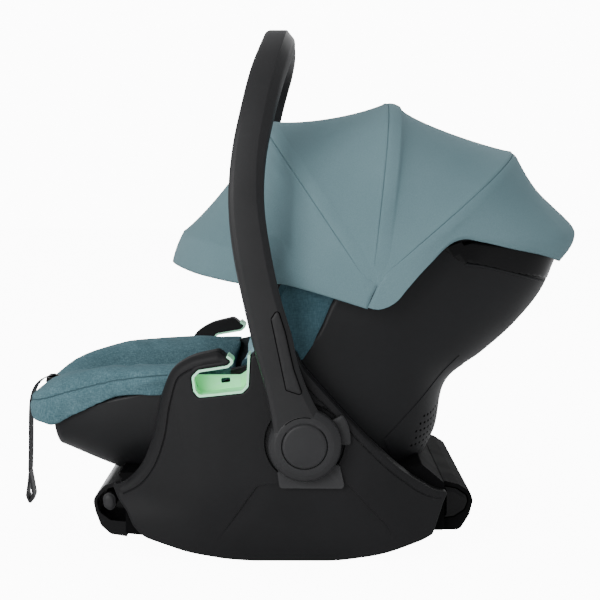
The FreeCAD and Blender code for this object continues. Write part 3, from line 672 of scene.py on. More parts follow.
def plate(name, polygon, front, back, spacing, rings, lines=()):
    """A closed plate: front(x, z) and back(x, z) give y on its two faces."""
    low, high = polygon.min(axis=0), polygon.max(axis=0)
    xs, zs = np.meshgrid(np.arange(low[0], high[0], spacing), np.arange(low[1], high[1], spacing))
    extra = np.stack([xs.ravel(), zs.ravel()], axis=1)
    extra = extra[inside(extra, polygon)]
    margin = max(rings) + 0.5 * spacing
    extra = extra[distance_to(extra, polygon) > margin]
    added = [ring_points(polygon, r) for r in rings]
    for line, offsets, closed in lines:
        for offset in offsets:
            shifted = shift_line(line, offset, closed)
            ok = inside(shifted, polygon)
            added.append(shifted[ok & (distance_to(shifted, polygon) > 0.5)])
    added = np.concatenate(added)
    extra = extra[nearest_gap(extra, added) > 0.4 * spacing]
    extra = np.concatenate([extra, thinned(added, 0.25)])
    flat, faces = triangulated(polygon, extra)
    count = len(flat)
    face_y, back_y = front(flat), back(flat)
    points = np.concatenate([np.stack([flat[:, 0], face_y, flat[:, 1]], axis=1),
                             np.stack([flat[:, 0], back_y, flat[:, 1]], axis=1)])
    sides = {pair: True for a, b, c in faces for pair in ((a, b), (b, c), (c, a))}
    walls = [(a, b, b + count, a + count) for a, b in sides if (b, a) not in sides]
    made = [tuple(f) for f in faces] + [tuple(f[::-1] + count) for f in faces] + walls
    return outward(new_mesh(name, points, made))


def domed_lid(name, polygon, side, face_y, back_y, drop, over, power, spacing, rings):
    """A plate whose face falls by drop over the last few millimetres of its rim."""
    def face(flat):
        top = face_y(flat) if callable(face_y) else face_y
        return side * (top - drop * (1 - step(distance_to(flat, polygon), 0, over)) ** power)

    def back(flat):
        return np.full(len(flat), float(side * back_y))

    return plate(name, polygon, face, back, spacing, rings)


def shift_line(line, offset, closed):
    line = np.asarray(line, float)
    if closed:
        run = np.roll(line, -1, axis=0) - np.roll(line, 1, axis=0)
    else:
        run = np.gradient(line, axis=0)
    normal = np.stack([-run[:, 1], run[:, 0]], axis=1) / np.linalg.norm(run, axis=1)[:, None]
    return line + normal * offset


def nearest_gap(points, others):
    tree = KDTree(len(others))
    for k, p in enumerate(others):
        tree.insert((p[0], p[1], 0), k)
    tree.balance()
    return np.array([tree.find((p[0], p[1], 0))[2] for p in points])


def thinned(points, gap):
    """Drop points that nearly coincide."""
    cells, keep = set(), []
    for k, p in enumerate(points):
        cell = (round(p[0] / gap), round(p[1] / gap))
        if cell not in cells:
            cells.add(cell)
            keep.append(k)
    return points[keep]


def step(value, start, end):
    """Smooth 0 to 1 between two limits."""
    t = np.clip((np.asarray(value, float) - start) / (end - start), 0, 1)
    return t * t * (3 - 2 * t)


def line_points(corners, spacing=1.5):
    """Points along straight runs between corners."""
    corners = np.asarray(corners, float)
    marks = travelled(corners)
    count = max(2, int(marks[-1] / spacing))
    places = np.linspace(0, marks[-1], count)
    return np.stack([np.interp(places, marks, c) for c in corners.T], axis=1)


# ------------------------------------------------------------------ side panels
PANEL_Y = 200.0
PANEL_BACK_Y = 164.0
SLOT_PATH = [(-81, 231), (-75, 226.5), (-80, 222), (-112, 216.5), (-119.5, 209),
             (-117.5, 193), (-112, 186), (-63, 192), (-56.5, 199), (-54.5, 234)]
PANEL_OUTLINE = [
    (-212, 84, 6), (-205, 66, 20), (-195, 52, 20), (-188, 36, 20), (-176, 24, 30),
    (-125, 9, 200), (-82, 2, 200), (-55, 0, 200), (42, 0, 200), (92, 7, 200),
    (138, 23, 60), (149, 29, 6), (161, 66, 20), (166, 77, 3), (152, 79, 60),
    (115, 102, 300), (73, 141, 300), (46, 170, 300), (3, 219, 30), (-4, 236, 6),
] + [(x, z, 5) for x, z in reversed(SLOT_PATH)] + [
    (-89, 238, 8), (-120, 231, 60), (-143, 217, 40), (-156, 183, 120),
    (-164, 140, 120), (-176, 109, 80), (-189, 93, 60), (-203, 83, 20),
]
FRONT_EDGE = [(-205, 84), (-189, 93), (-176, 109), (-164, 140), (-156, 183), (-143, 217),
              (-120, 231), (-89, 238)]
REAR_EDGE = [(-4, 236), (3, 219), (46, 170), (73, 141), (115, 102), (152, 79), (166, 77)]
FRONT_ROUND, PLAIN_ROUND = 9.0, 2.6
RECESS_RADIUS, RECESS_DEPTH = 44.0, 3.4
LOWER_FIELD = [(-97, 14), (-91, 26), (-47.5, 88), (-37, 90), (54, 89), (97, 41), (104, 28)]
CREASE = [(-143, 195), (-136.5, 165), (-124, 110), (-111, 58)]


PANEL_PLAN_X, PANEL_PLAN_INSET = [-240, -110, -10, 95, 210], [42, 6, 0, 4, 34]
PANEL_PLAN_SOFT = 22


def panel_base(flat):
    """Inset of the bowed face from the widest plane: drawn in at both ends and at the floor."""
    x, z = flat[:, 0], flat[:, 1]
    plan, before, after = (np.interp(x + shift, PANEL_PLAN_X, PANEL_PLAN_INSET)
                           for shift in (0, -PANEL_PLAN_SOFT, PANEL_PLAN_SOFT))
    plan = 0.4 * plan + 0.6 * (0.5 * (before + after))
    side = np.interp(z, [-10, 30, 95, 260], [16, 9, 0, 0])
    return np.sqrt(plan ** 2 + side ** 2)


GEAR_POCKET, GEAR_POCKET_DEPTH = 23.0, 7.0      # room for the lock gear when a button is pressed


def round_hub(radius, count):
    """Points (x, z) on a circle about the handle's axis."""
    return np.array([(HUB[0] + radius * math.cos(a), HUB[1] + radius * math.sin(a))
                     for a in np.linspace(0, 2 * math.pi, count, endpoint=False)])


def make_panel(side_name, side):
    polygon = rounded(PANEL_OUTLINE, 2.2)
    front_line = smooth_path(FRONT_EDGE, 120)
    rear_line = smooth_path(REAR_EDGE, 120)
    field = line_points(LOWER_FIELD, 1.5)
    crease = line_points(CREASE, 2.0)

    def face(flat):
        edge = distance_to(flat, polygon)
        near_front = distance_to(flat, front_line, closed=False)
        near_rear = distance_to(flat, rear_line, closed=False)
        share = 1 - step(near_front - edge, 0.5, 14)
        radius = PLAIN_ROUND + (FRONT_ROUND - PLAIN_ROUND) * share
        reach = np.clip(radius - edge, 0, radius)
        inset = panel_base(flat) + radius - np.sqrt(np.maximum(radius ** 2 - reach ** 2, 0))
        for near, at_distance in ((near_front, 13.0), (near_rear, 8.0)):
            groove = np.abs(near - at_distance)
            inset += 1.1 * (1 - step(groove, 0.2, 1.1)) * step(edge, 3, 6)
        from_hub = np.hypot(flat[:, 0] - HUB[0], flat[:, 1] - HUB[1])
        inset += RECESS_DEPTH * (1 - step(from_hub, RECESS_RADIUS - 0.5, RECESS_RADIUS + 0.4))
        inset += GEAR_POCKET_DEPTH * (1 - step(from_hub, GEAR_POCKET - 0.8, GEAR_POCKET))
        in_field = inside(flat, np.asarray(LOWER_FIELD)) * 1.0
        from_line = distance_to(flat, field[1:-1], closed=False)
        fade = step(flat[:, 1], 20, 60)
        inset += in_field * fade * (1.5 * (1 - step(from_line, 0, 24)) + 0.3)
        left = (np.interp(flat[:, 1], [p[1] for p in CREASE[::-1]], [p[0] for p in CREASE[::-1]])
                - flat[:, 0])
        inset += 0.055 * np.clip(left, 0, 60) * step(flat[:, 1], 40, 75) * (
            1 - step(flat[:, 1], 194.5, 196.5))
        return side * (PANEL_Y - inset)

    def back(flat):
        return np.full(len(flat), side * PANEL_BACK_Y)

    front_offsets = [9.4, 11.9, 12.5, 13.0, 13.5, 14.1]
    lines = [(front_line, [-o for o in front_offsets] + front_offsets, False),
             (rear_line, [-8.9, -8.4, -8, -7.6, -7.1, 8.9, 8.4, 8, 7.6, 7.1], False),
             (field, (-2, -0.8, -0.25, 0.25, 0.8, 2), False),
             (crease, (-1.5, 0, 1.5), False),
             (round_hub(RECESS_RADIUS, 90), (-1.2, -0.5, 0, 0.4, 1.2), True),
             (round_hub(GEAR_POCKET, 60), (-1.0, 0, 1.0), True)]
    panel = plate("side_panel_moulding_" + side_name, polygon, face, back, 4.0,
                  (0.15, 0.5, 1.0, 1.7, 2.6, 4.0, 5.6, 7.4, 9.2), lines)
    shade_by_angle(panel, 40)
    dress(panel, "shell", PANEL_BLACK, ["side_panel_" + side_name])


for side_name, side in SIDES:
    make_panel(side_name, side)

# ------------------------------------------------------------------ carry handle
ARM_FRONT = [(-28, 137), (-31, 165), (-38, 200), (-51, 250), (-62, 300), (-72, 352),
             (-77, 405), (-74, 456), (-64, 509), (-54, 551), (-41, 590), (-38, 604)]
ARM_REAR = [(38, 137), (25, 165), (11, 193), (0, 222), (-9, 262), (-20, 300),
            (-31, 352), (-38, 405), (-37, 456), (-28, 509), (-18, 551), (-7, 590), (-4, 604)]
HANDLE_OUTER = [(-222, 152), (-222, 260), (-222, 350), (-219.5, 425), (-210.5, 490), (-191, 540),
                (-161, 575), (-128, 590.5), (-92, 595.3), (0, 596)]
HANDLE_INNER = [(-205, 152), (-205, 260), (-205, 350), (-202.5, 420), (-194, 474), (-176, 516),
                (-151, 546), (-123, 562), (-92, 568), (0, 569)]
# Section of the arm: (from the front edge, from the rear edge or None, depth below the face).
ARM_SECTION = [
    (0.0, None, 5.2), (0.35, None, 3.4), (1.3, None, 1.7), (3.0, None, 0.75), (4.4, None, 0.5),
    (5.2, None, 0.12), (6.4, None, 0.0), (None, 9.4, 0.0), (None, 8.3, 0.25), (None, 7.4, 1.1),
    (None, 1.6, 5.6), (None, 0.5, 6.8), (None, 0.0, 8.4), (None, 0.0, 13.0), (None, 0.7, 15.4),
    (None, 3.0, 16.8), (None, 6.0, 17.0), (6.0, None, 17.0), (3.0, None, 16.6), (0.8, None, 15.2),
    (0.0, None, 12.5),
]


def make_handle():
    count = 150
    half_outer = smooth_path(HANDLE_OUTER, count)
    half_inner = smooth_path(HANDLE_INNER, count)
    outer = np.concatenate([half_outer, (half_outer * (-1, 1))[-2::-1]])
    inner = np.concatenate([half_inner, (half_inner * (-1, 1))[-2::-1]])
    front_z, front_x = np.array([p[1] for p in ARM_FRONT]), np.array([p[0] for p in ARM_FRONT])
    rear_z, rear_x = np.array([p[1] for p in ARM_REAR]), np.array([p[0] for p in ARM_REAR])
    rings = []
    for out, into in zip(outer, inner):
        into_depth = (into - out) / np.linalg.norm(into - out)
        thick = np.linalg.norm(into - out)
        front_edge = float(hermite(front_z, front_x, [out[1]])[0])
        rear_edge = float(hermite(rear_z, rear_x, [out[1]])[0])
        ring = []
        for from_front, from_rear, depth in ARM_SECTION:
            y, z = out + into_depth * depth * thick / 17.0
            x = front_edge + from_front if from_rear is None else rear_edge - from_rear
            ring.append((x, y, z))
        rings.append(ring)
    handle = outward(grid("handle_frame", rings, ring=True, caps=True))
    shade_by_angle(handle, 24)
    dress(handle, "handle", HANDLE_BLACK,
          ["handle_arm_left", "handle_arm_right", "handle_grip"])


def lathe(name, profile, side, steps=96):
    """Turned piece about the handle's axis: profile is (radius, y) for side -1."""
    rings = []
    for k in range(steps):
        turn = 2 * math.pi * k / steps
        rings.append([(HUB[0] + r * math.cos(turn), -side * y, HUB[1] + r * math.sin(turn))
                      for r, y in profile])
    return outward(grid(name, rings, loop=True))


def arc_profile(r_from, y_from, r_to, y_to, bulge, steps=6):
    """A gentle arc between two profile points, bulging by a share of its length."""
    a, b = np.array([r_from, y_from]), np.array([r_to, y_to])
    normal = np.array([-(b - a)[1], (b - a)[0]])
    return [tuple(a + (b - a) * s + normal * bulge * 4 * s * (1 - s))
            for s in np.linspace(0, 1, steps)]


def make_hub(side_name, side):
    """Ring of the handle around the release button, with a chamfered rim."""
    profile = ([(25.0, -209.5), (25.0, -221.6), (25.6, -222.3), (31.6, -222.4), (32.6, -222.1)]
               + arc_profile(33.2, -221.7, 39.3, -216.6, -0.06)
               + [(40.0, -215.2), (40.0, -204.9), (39.4, -204.3), (9.0, -204.3), (9.0, -209.5)])
    hub = lathe("handle_hub_" + side_name, profile + [profile[0]], side)
    shade_by_angle(hub, 40)
    dress(hub, "handle", HUB_BLACK)


def make_button(side_name, side):
    """Slightly domed release button."""
    profile = ([(0.01, -224.4)] + [(r, -224.4 + 0.0011 * r * r) for r in (6, 12, 17, 21)]
               + [(22.8, -223.75), (23.8, -223.2), (24.4, -222.3), (24.4, -217.5), (0.01, -217.5)])
    button = lathe("release_button_cap_" + side_name, profile, side)
    shade_by_angle(button, 50)
    dress(button, "button_" + side_name, HUB_BLACK, ["release_button_" + side_name])


def tube(name, points, radius, sides=8):
    """Round thread or piping along points in millimetres."""
    points = np.asarray(points, float)
    along = np.gradient(points, axis=0)
    along /= np.linalg.norm(along, axis=1)[:, None]
    side = np.cross(along, (0.0, 0.0, 1.0))
    side /= np.maximum(np.linalg.norm(side, axis=1), 1e-6)[:, None]
    up = np.cross(side, along)
    rings = [[p + radius * (a * math.cos(t) + b * math.sin(t))
              for t in np.linspace(0, 2 * math.pi, sides, endpoint=False)]
             for p, a, b in zip(points, side, up)]
    return outward(grid(name, rings, ring=True, caps=True))


ARM_FACE = 222.0
COVER = [(-15, 199), (-31, 276), (-24, 287), (-16, 262), (-7, 222), (3, 193)]


def make_cover(side_name, side):
    """Raised cover low on the arm, with a painted shadow line round it."""
    polygon = rounded([(x, z, 2.5) for x, z in COVER], 1.5)
    cover = domed_lid("arm_cover_plate_" + side_name, polygon, side, 222.5, 219.6, 1.0, 1.3, 1,
                      3.0, (0.3, 0.8, 1.6))
    shade_by_angle(cover, 50)
    dress(cover, "handle", HANDLE_BLACK, ["arm_cover_" + side_name])
    # Painted shadow: a thin near-black tube round the cover's rim, where its gap lies in shade.
    outline = ring_points(polygon, -0.3)
    outline = np.concatenate([outline, outline[:1]])
    shadow_line = tube("arm_cover_shadow_line_" + side_name,
                [(x, side * ARM_FACE, z) for x, z in outline], 0.5)
    dress(shadow_line, "handle", PAINTED_SHADE_BLACK)


def make_hub_shadow_line(side_name, side):
    """Painted shadow line where the arm runs out over the hub: a thin near-black tube."""
    turns = np.radians(np.linspace(78, 132, 40))
    arc = [(HUB[0] + 31.8 * math.cos(t), side * (ARM_FACE + 0.45), HUB[1] + 31.8 * math.sin(t))
           for t in turns]
    dress(tube("hub_shadow_line_" + side_name, arc, 0.45), "handle", PAINTED_SHADE_BLACK)


def make_hub_tab(side_name, side):
    """Stop tab on the body, just behind the hub."""
    corners = [(HUB[0] + r * math.cos(math.radians(a)), HUB[1] + r * math.sin(math.radians(a)), 2.5)
               for r, a in ((36, -3), (50.5, -2), (51, 8), (51.5, 18), (52, 28), (52, 37), (36, 41))]
    tab = domed_lid("hub_tab_" + side_name, rounded(corners, 1.5), side, 203.4, 195.0, 0.9, 1.6, 1,
                    3.0, (0.3, 0.9, 1.7))
    shade_by_angle(tab, 50)
    dress(tab, "shell", BRACKET_GREY)


SPRING_ENDS = (209.8, 220.4)
SPRING_RADIUS, SPRING_WIRE, SPRING_TURNS, PRESS = 19.5, 0.7, 3, 5.0


def make_spring(side_name, side):
    """Coil between the hub and the release button; it rides on the button."""
    coil = []
    for turn in np.linspace(0, SPRING_TURNS, 40 * SPRING_TURNS):
        angle = 2 * math.pi * turn
        share = turn / SPRING_TURNS
        coil.append((HUB[0] + SPRING_RADIUS * math.cos(angle),
                     side * (SPRING_ENDS[0] + share * (SPRING_ENDS[1] - SPRING_ENDS[0])),
                     HUB[1] + SPRING_RADIUS * math.sin(angle)))
    spring = tube("button_spring_coil_" + side_name, coil, SPRING_WIRE)
    dress(spring, "button_" + side_name, STEEL, ["button_spring_" + side_name])
    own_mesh(spring)


make_handle()
for side_name, side in SIDES:
    make_spring(side_name, side)
    make_hub(side_name, side)
    make_button(side_name, side)
    make_cover(side_name, side)
    make_hub_shadow_line(side_name, side)
    make_hub_tab(side_name, side)

# ------------------------------------------------------------------ canopy
# Bows: angle about the canopy axis, reach, half width. The cloth lies just outside them.
BOWS = {"visor": (167.0, 229.0, 178.5), "front": (124.0, 217.0, 182.5),
        "middle": (83.0, 206.0, 186.5), "rear": (40.0, 223.0, 190.5)}
ARCH_POWER = 2.7
CLOTH_PROUD = 2.4
CLOTH_THICK = 1.5
CHANNEL_HALF = 5.5                 # half the width of the sewn tunnel round a bow
PIVOT_COVER = 196.2
SEAM_HALF, SEAM_DEPTH = 0.7, 0.9
COLUMNS = 129


def arch(bow):
    """Points along a bow's cloth line: reach from the axis, and y."""
    _, reach, half = BOWS[bow]
    turn = math.pi * np.linspace(0, 1, COLUMNS)
    share = 2.0 / ARCH_POWER
    out = (reach + CLOTH_PROUD) * np.sin(turn) ** share
    y = -(half + CLOTH_PROUD) * np.sign(np.cos(turn)) * np.abs(np.cos(turn)) ** share
    marks = np.concatenate([[0.0], np.cumsum(np.hypot(np.diff(out), np.diff(y)))])
    places = np.linspace(0, marks[-1], COLUMNS)
    return np.interp(places, marks, out), np.interp(places, marks, y)


def rail(bow, sideways=0.0, sink=0.0):
    """The bow's cloth line moved sideways (towards the feet if positive) and inwards."""
    out, y = arch(bow)
    angle = math.radians(BOWS[bow][0])
    limit = 0.27 * out
    shift = np.clip(sideways, -limit, limit)
    outness = out / out.max()
    sink = sink * step(out, 8, 50)
    out = out - sink * outness
    y = y * (1 - sink * (1 - outness) / abs(y[0]))
    x = PIVOT[0] + out * math.cos(angle) - shift * math.sin(angle)
    z = PIVOT[1] + out * math.sin(angle) + shift * math.cos(angle)
    return np.stack([x, y, z], axis=1)


def ruled(first, second, sag, side_sag, count, skew=0.5):
    """Cloth stretched between two rails and drawn in between them, most at the corners."""
    span = np.linalg.norm(second - first, axis=1)
    share_of_span = span / span.max()
    middle = 0.5 * (first + second)
    inward = np.stack([PIVOT[0] - middle[:, 0], -0.75 * middle[:, 1], PIVOT[1] - middle[:, 2]], axis=1)
    inward /= np.linalg.norm(inward, axis=1)[:, None]
    run = second - first
    run /= np.maximum(span, 1e-6)[:, None]
    inward -= np.sum(inward * run, axis=1)[:, None] * run
    from_top = np.abs(np.linspace(-1, 1, len(first)))
    depth = sag + (side_sag - sag) * np.exp(-((from_top - 0.48) / 0.24) ** 2)
    rows = []
    for s in np.linspace(0, 1, count):
        warped = s ** (math.log(0.5) / math.log(skew))
        pull = depth * (4 * warped * (1 - warped)) ** 0.8
        rows.append(first + (second - first) * s + inward * (pull * share_of_span)[:, None])
    return rows


def pressed(rows, first_row, start, end, depth, width, ease):
    """Press a tension fold into the sides: cloth falls away to the left of a line (x, z)."""
    rows = np.array(rows)
    place = (np.arange(len(rows)) - first_row) / (len(rows) - 1 - first_row)
    free = step(place, 0.0, 0.3) * (1 - step(place, 0.86, 1.0))
    start, end = np.array(start, float), np.array(end, float)
    run = (end - start) / np.linalg.norm(end - start)
    away = rows[..., [0, 2]] - start
    beyond = away @ np.array([-run[1], run[0]])
    along = away @ run / np.linalg.norm(end - start)
    amount = depth * step(beyond, 0, width) * (1 - 0.75 * step(beyond, width, width + ease))
    amount = amount * step(along, -0.05, 0.3) * (1 - step(along, 0.8, 1.12))
    reach = np.abs(rows[..., 1])
    amount = amount * step(reach, 40, 130) * free[:, None]
    rows[..., 1] *= 1 - 0.85 * amount / np.maximum(reach, 1)
    rows[..., 0] += 0.5 * amount * (PIVOT[0] - rows[..., 0]) / 220
    rows[..., 2] += 0.5 * amount * (PIVOT[1] - rows[..., 2]) / 220
    return rows


def domed(rows):
    """Lift the cloth over the pins and bow ends at the canopy axis."""
    rows = np.array(rows)
    near = 1 - step(np.hypot(rows[..., 0] - PIVOT[0], rows[..., 2] - PIVOT[1]), 10, 95)
    reach = np.abs(rows[..., 1])
    rows[..., 1] = np.sign(rows[..., 1]) * (reach + np.maximum(PIVOT_COVER - reach, 0) * near)
    return rows


def tunnel(bow):
    """Rows over a bow: the seam on its feet side, a soft crown and the far edge."""
    rows = []
    for sideways, sink in ((CHANNEL_HALF + 2.2, 0.0), (CHANNEL_HALF + SEAM_HALF, 0.0),
                           (CHANNEL_HALF, SEAM_DEPTH), (CHANNEL_HALF - SEAM_HALF, 0.0),
                           (3.0, -0.7), (0.0, -0.9), (-3.0, -0.7), (-CHANNEL_HALF, 0.1),
                           (-CHANNEL_HALF - 2.0, 0.6)):
        rows.append(rail(bow, sideways, sink))
    return rows


def hem_line():
    """Lower edge of the visor's flap: it hangs from the visor bow, more at the front."""
    bow = rail("visor")
    out, _ = arch("visor")
    drop_x = np.interp(out, [0, 30, 60, 110, 150, 200, 231], [-10, -4, -1, -1, -3, -8, -13])
    drop_z = np.interp(out, [0, 50, 108, 128, 150, 200, 231], [-24, -23, -21.5, -27, -34, -36, -33])
    smooth = np.array([0.25, 0.5, 0.25])
    for _ in range(6):
        drop_x[1:-1] = np.convolve(drop_x, smooth, "valid")
        drop_z[1:-1] = np.convolve(drop_z, smooth, "valid")
    hem = bow.copy()
    hem[:, 0] += drop_x
    hem[:, 2] += drop_z
    hem[:, 1] *= np.interp(out, [0, 150, 231], [1.0, 0.99, 0.97])
    return hem


def make_visor():
    hem, bow = hem_line(), rail("visor", 0.0, -0.6)
    rows = []
    for s in np.linspace(0, 1, 12):
        bulge = 4 * s * (1 - s) * 1.6
        row = hem + (bow - hem) * s
        row[:, 0] -= bulge * 0.8
        row[:, 1] *= 1 + bulge / 190
        rows.append(row)
    rows[0] = rows[0] + (rows[1] - rows[0]) * 0.02
    after = rail("visor", -3.0, 0.2)
    rows += ruled(after, rail("front", CHANNEL_HALF + 2.2), 7.5, 10.0, 40)
    return pressed(rows, 14, (-2, 290), (-2, 452), 15.0, 24.0, 70.0)


def make_between(first, second, sag, side_sag, skew=0.5):
    """A panel from one bow's tunnel to the next bow's seam."""
    rows = tunnel(first)[2:]
    after = rail(first, -CHANNEL_HALF - 4.0, 1.5)
    return rows + ruled(after, rail(second, CHANNEL_HALF + 2.2), sag, side_sag, 40, skew)


def close_seam(rows, bow):
    """Bring a panel's last rows down into the seam in front of a bow."""
    return list(rows) + [rail(bow, CHANNEL_HALF + SEAM_HALF), rail(bow, CHANNEL_HALF, SEAM_DEPTH)]


# Rear panel: its free edge from the canopy axis round to the middle of the back (left half).
REAR_EDGE_LINE = [
    (74, -194, 286), (84, -194, 283.5), (94, -193.5, 285.5), (104, -193, 291), (118, -191.5, 307),
    (133, -189.5, 324), (147, -187, 338), (158, -184, 349), (168, -180, 356), (180, -175.5, 359.5),
    (200, -169, 356.5), (236, -154, 348), (272, -131, 340), (295, -108, 333), (303, -85, 329.5),
    (305, -50, 328.5), (305.5, 0, 328.5)]
# How far the crown of the back stands out from the straight line between bow and edge.
CROWN_PROUD = [(0, 0), (0.176, 3.9), (0.353, 11), (0.506, 21.3), (0.67, 32.7), (0.76, 37.5),
               (0.824, 37.2), (0.873, 32.7), (0.92, 23.5), (1, 0)]


def make_rear():
    """From the seam at the rear bow, over its tunnel, back and down to the free edge."""
    rows = tunnel("rear")[2:-1]
    start = rail("rear", -CHANNEL_HALF, 0.1)
    half_count = (COLUMNS - 1) // 2
    half_edge = smooth_path(REAR_EDGE_LINE, half_count + 1)
    edge = np.concatenate([half_edge, (half_edge * (1, -1, 1))[-2::-1]])
    from_side = 1 - np.abs(np.linspace(-1, 1, COLUMNS))
    side = np.sign(np.linspace(-1, 1, COLUMNS))
    turn = np.radians(np.interp(from_side, [0.4, 0.58, 0.76, 1], [0, 30, 74, 90]))
    size = np.interp(from_side, [0.22, 0.45, 0.6, 0.74, 0.87, 1], [0.0, 0.12, 0.3, 0.55, 0.86, 1.0])
    out = np.stack([0.936 * np.sin(turn), side * np.cos(turn), 0.3515 * np.sin(turn)], axis=1)
    for s in np.linspace(0, 1, 42)[1:]:
        proud = hermite([p[0] for p in CROWN_PROUD], [p[1] for p in CROWN_PROUD], [s])[0]
        rows.append(start + (edge - start) * s + out * (proud * size)[:, None])
    return rows


def canopy_piece(name, rows, node, bodies):
    """Make one panel of the canopy; with one body it rides that body, otherwise its mesh stays fixed
    where it is made.
    """
    panel = outward(grid(name, domed(rows)))
    if sum(p.normal.y * p.center.y for p in panel.data.polygons) < 0:
        panel.data.flip_normals()
    solidify(panel, CLOTH_THICK)
    panel.data.materials.append(CANOPY_CLOTH)
    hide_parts(node)
    if len(bodies) == 1:
        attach(panel, bodies[0])
    else:
        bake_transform(panel)


canopy_piece("canopy_visor_cloth", close_seam(make_visor(), "front"), "canopy_visor",
             ("canopy_front", "canopy_visor_frame"))
front_rows = pressed(close_seam(make_between("front", "middle", 7.0, 9.0), "middle"),
                     10, (-4, 430), (58, 492), 8.0, 20.0, 60.0)
canopy_piece("canopy_front_cloth", front_rows, "canopy_front_panel",
             ("canopy_middle", "canopy_front"))
middle_rows = close_seam(make_between("middle", "rear", 7.0, 13.0, 0.36), "rear")
canopy_piece("canopy_middle_cloth", middle_rows, "canopy_middle_panel",
             ("shell", "canopy_middle"))
canopy_piece("canopy_rear_cloth", make_rear(), "canopy_rear_panel", ("shell",))

# ------------------------------------------------------------------ padded pieces


def coordinates(obj):
    """Vertex positions of a mesh, in millimetres."""
    flat = np.empty(3 * len(obj.data.vertices))
    obj.data.vertices.foreach_get("co", flat)
    return flat.reshape(-1, 3) / MM


def place_vertices(obj, points):
    obj.data.vertices.foreach_set("co", (np.asarray(points) * MM).ravel())
    obj.data.update()


def vertex_normals(obj):
    flat = np.empty(3 * len(obj.data.vertices))
    obj.data.vertices.foreach_get("normal", flat)
    return flat.reshape(-1, 3)


def even_copy(name, node, voxel):
    """A CAD solid's mesh as an even, softened skin."""
    obj = bpy.data.objects.new(name, NODES[node].data.copy())
    obj.data.materials.clear()
    SCENE.collection.objects.link(obj)
    remesh = obj.modifiers.new("even", "REMESH")
    remesh.mode = "VOXEL"
    remesh.voxel_size = voxel * MM
    remesh.use_smooth_shade = True
    soften = obj.modifiers.new("soften", "SMOOTH")
    soften.factor = 0.5
    soften.iterations = 7
    return apply_modifiers(obj)


def inflated(obj):
    """Where the cloth solver takes a closed skin under pressure, without gravity."""
    cloth = obj.modifiers.new("inflate", "CLOTH")
    cloth.settings.quality = 5
    cloth.settings.mass = 0.3
    cloth.settings.tension_stiffness = 12
    cloth.settings.compression_stiffness = 12
    cloth.settings.bending_stiffness = 0.4
    cloth.settings.use_pressure = True
    cloth.settings.uniform_pressure_force = 4
    cloth.settings.effector_weights.gravity = 0
    cloth.point_cache.frame_start, cloth.point_cache.frame_end = 1, 20
    for frame in range(1, 21):
        SCENE.frame_set(frame)
    apply_modifiers(obj)
    after = coordinates(obj)
    SCENE.frame_set(1)
    return after


def cushion(name, node, material, body, voxel=5.0, swell=6.0, shrink=1.5, hold=None):
    """A padded piece in the space of its CAD solid; it swells least where it lies on the shell."""
    obj = even_copy(name, node, voxel)
    start = coordinates(obj) - vertex_normals(obj) * shrink
    place_vertices(obj, start)
    move = inflated(obj) - start
    size = np.linalg.norm(move, axis=1)
    move *= (np.minimum(size, swell) / np.maximum(size, 1e-6))[:, None]
    gap = np.array([SHELL_SURFACE.find_nearest(Vector(p * MM))[3] / MM for p in start])
    loose = step(gap, 3.0, 16.0) * 0.9 + 0.1
    if hold is not None:
        loose = loose * hold(start)
    place_vertices(obj, start + move * loose[:, None])
    finer = obj.modifiers.new("finer", "SUBSURF")
    finer.levels = finer.render_levels = 1
    apply_modifiers(obj)
    obj.data.shade_smooth()
    dress(obj, body, material, [node])
    return obj


def stitched(obj, name, route, body, groove=1.8, half=6.0, radius=0.8, proud=0.1):
    """Sew a seam along a route near a cushion: a soft groove with a line of piping in it."""
    surface = surface_of(obj)
    line = []
    for point in smooth_path(route, 150):
        place, normal, _, _ = surface.find_nearest(Vector(point * MM))
        line.append(np.array(place) / MM)
    line = smooth_path(line[::5], 150)
    tree = KDTree(len(line))
    for k, point in enumerate(line):
        tree.insert(point, k)
    tree.balance()
    points, normals = coordinates(obj), vertex_normals(obj)
    gap = np.array([tree.find(p)[2] for p in points])
    points -= normals * (groove * (1 - step(gap, 0.6, half)))[:, None]
    place_vertices(obj, points)
    surface = surface_of(obj)
    on_surface = []
    for point in line:
        place, normal, _, _ = surface.find_nearest(Vector(point * MM))
        on_surface.append(np.array(place) / MM + np.array(normal) * (proud - 0.3 * radius))
    piping = tube(name, on_surface, radius)
    dress(piping, body, THREAD)




def leg_give(points):
    """How freely the leg cushion swells: little under the pull strap and at the front lip."""
    under_strap = (1 - step(np.abs(points[:, 1]), 22, 34)) * (points[:, 0] < -250)
    at_lip = 1 - step(points[:, 0], -320, -270)
    return (1 - 0.5 * under_strap) * (1 - 0.45 * at_lip)


leg = cushion("leg_cushion_cover", "leg_cushion", SEAT_CLOTH, "shell", 5.0, 7.0,
              2.5, leg_give)
LEG_SEAM = [(-150, -152, 205), (-180, -148, 202), (-223, -142, 195), (-262, -132, 184),
            (-296, -120, 173), (-316, -92, 168), (-325, -60, 165), (-328, -28, 163)]
for side_name, side in SIDES:
    stitched(leg, "leg_piping_" + side_name, [(x, y * -side, z) for x, y, z in LEG_SEAM], "shell")
cushion("back_cushion_cover", "back_cushion", WING_CLOTH, "shell", 5.5, 5.0)
cushion("newborn_insert_cover", "newborn_insert", INSERT_CLOTH, "shell",
        4.0, 4.0, 1.0)
cushion("headrest_pad_cover", "headrest_pad", WING_CLOTH, "headrest",
        4.0, 4.0, 1.0)
for side_name, side in SIDES:
    cushion("shoulder_pad_cover_" + side_name, "shoulder_pad_" + side_name, PAD_CLOTH, "shell",
            2.5, 2.0, 0.8)
cushion("crotch_pad_cover", "crotch_pad", PAD_CLOTH, "shell", 2.0, 1.5, 0.5)

# Side wings of the seat cover, where it folds over the shell's rim beside the handle.
SIDE_WING = [(3, 224, 3), (14, 240, 40), (28, 264, 60), (47, 306, 8), (-8, 320, 12), (-32, 270, 80),
             (-38, 222, 8)]


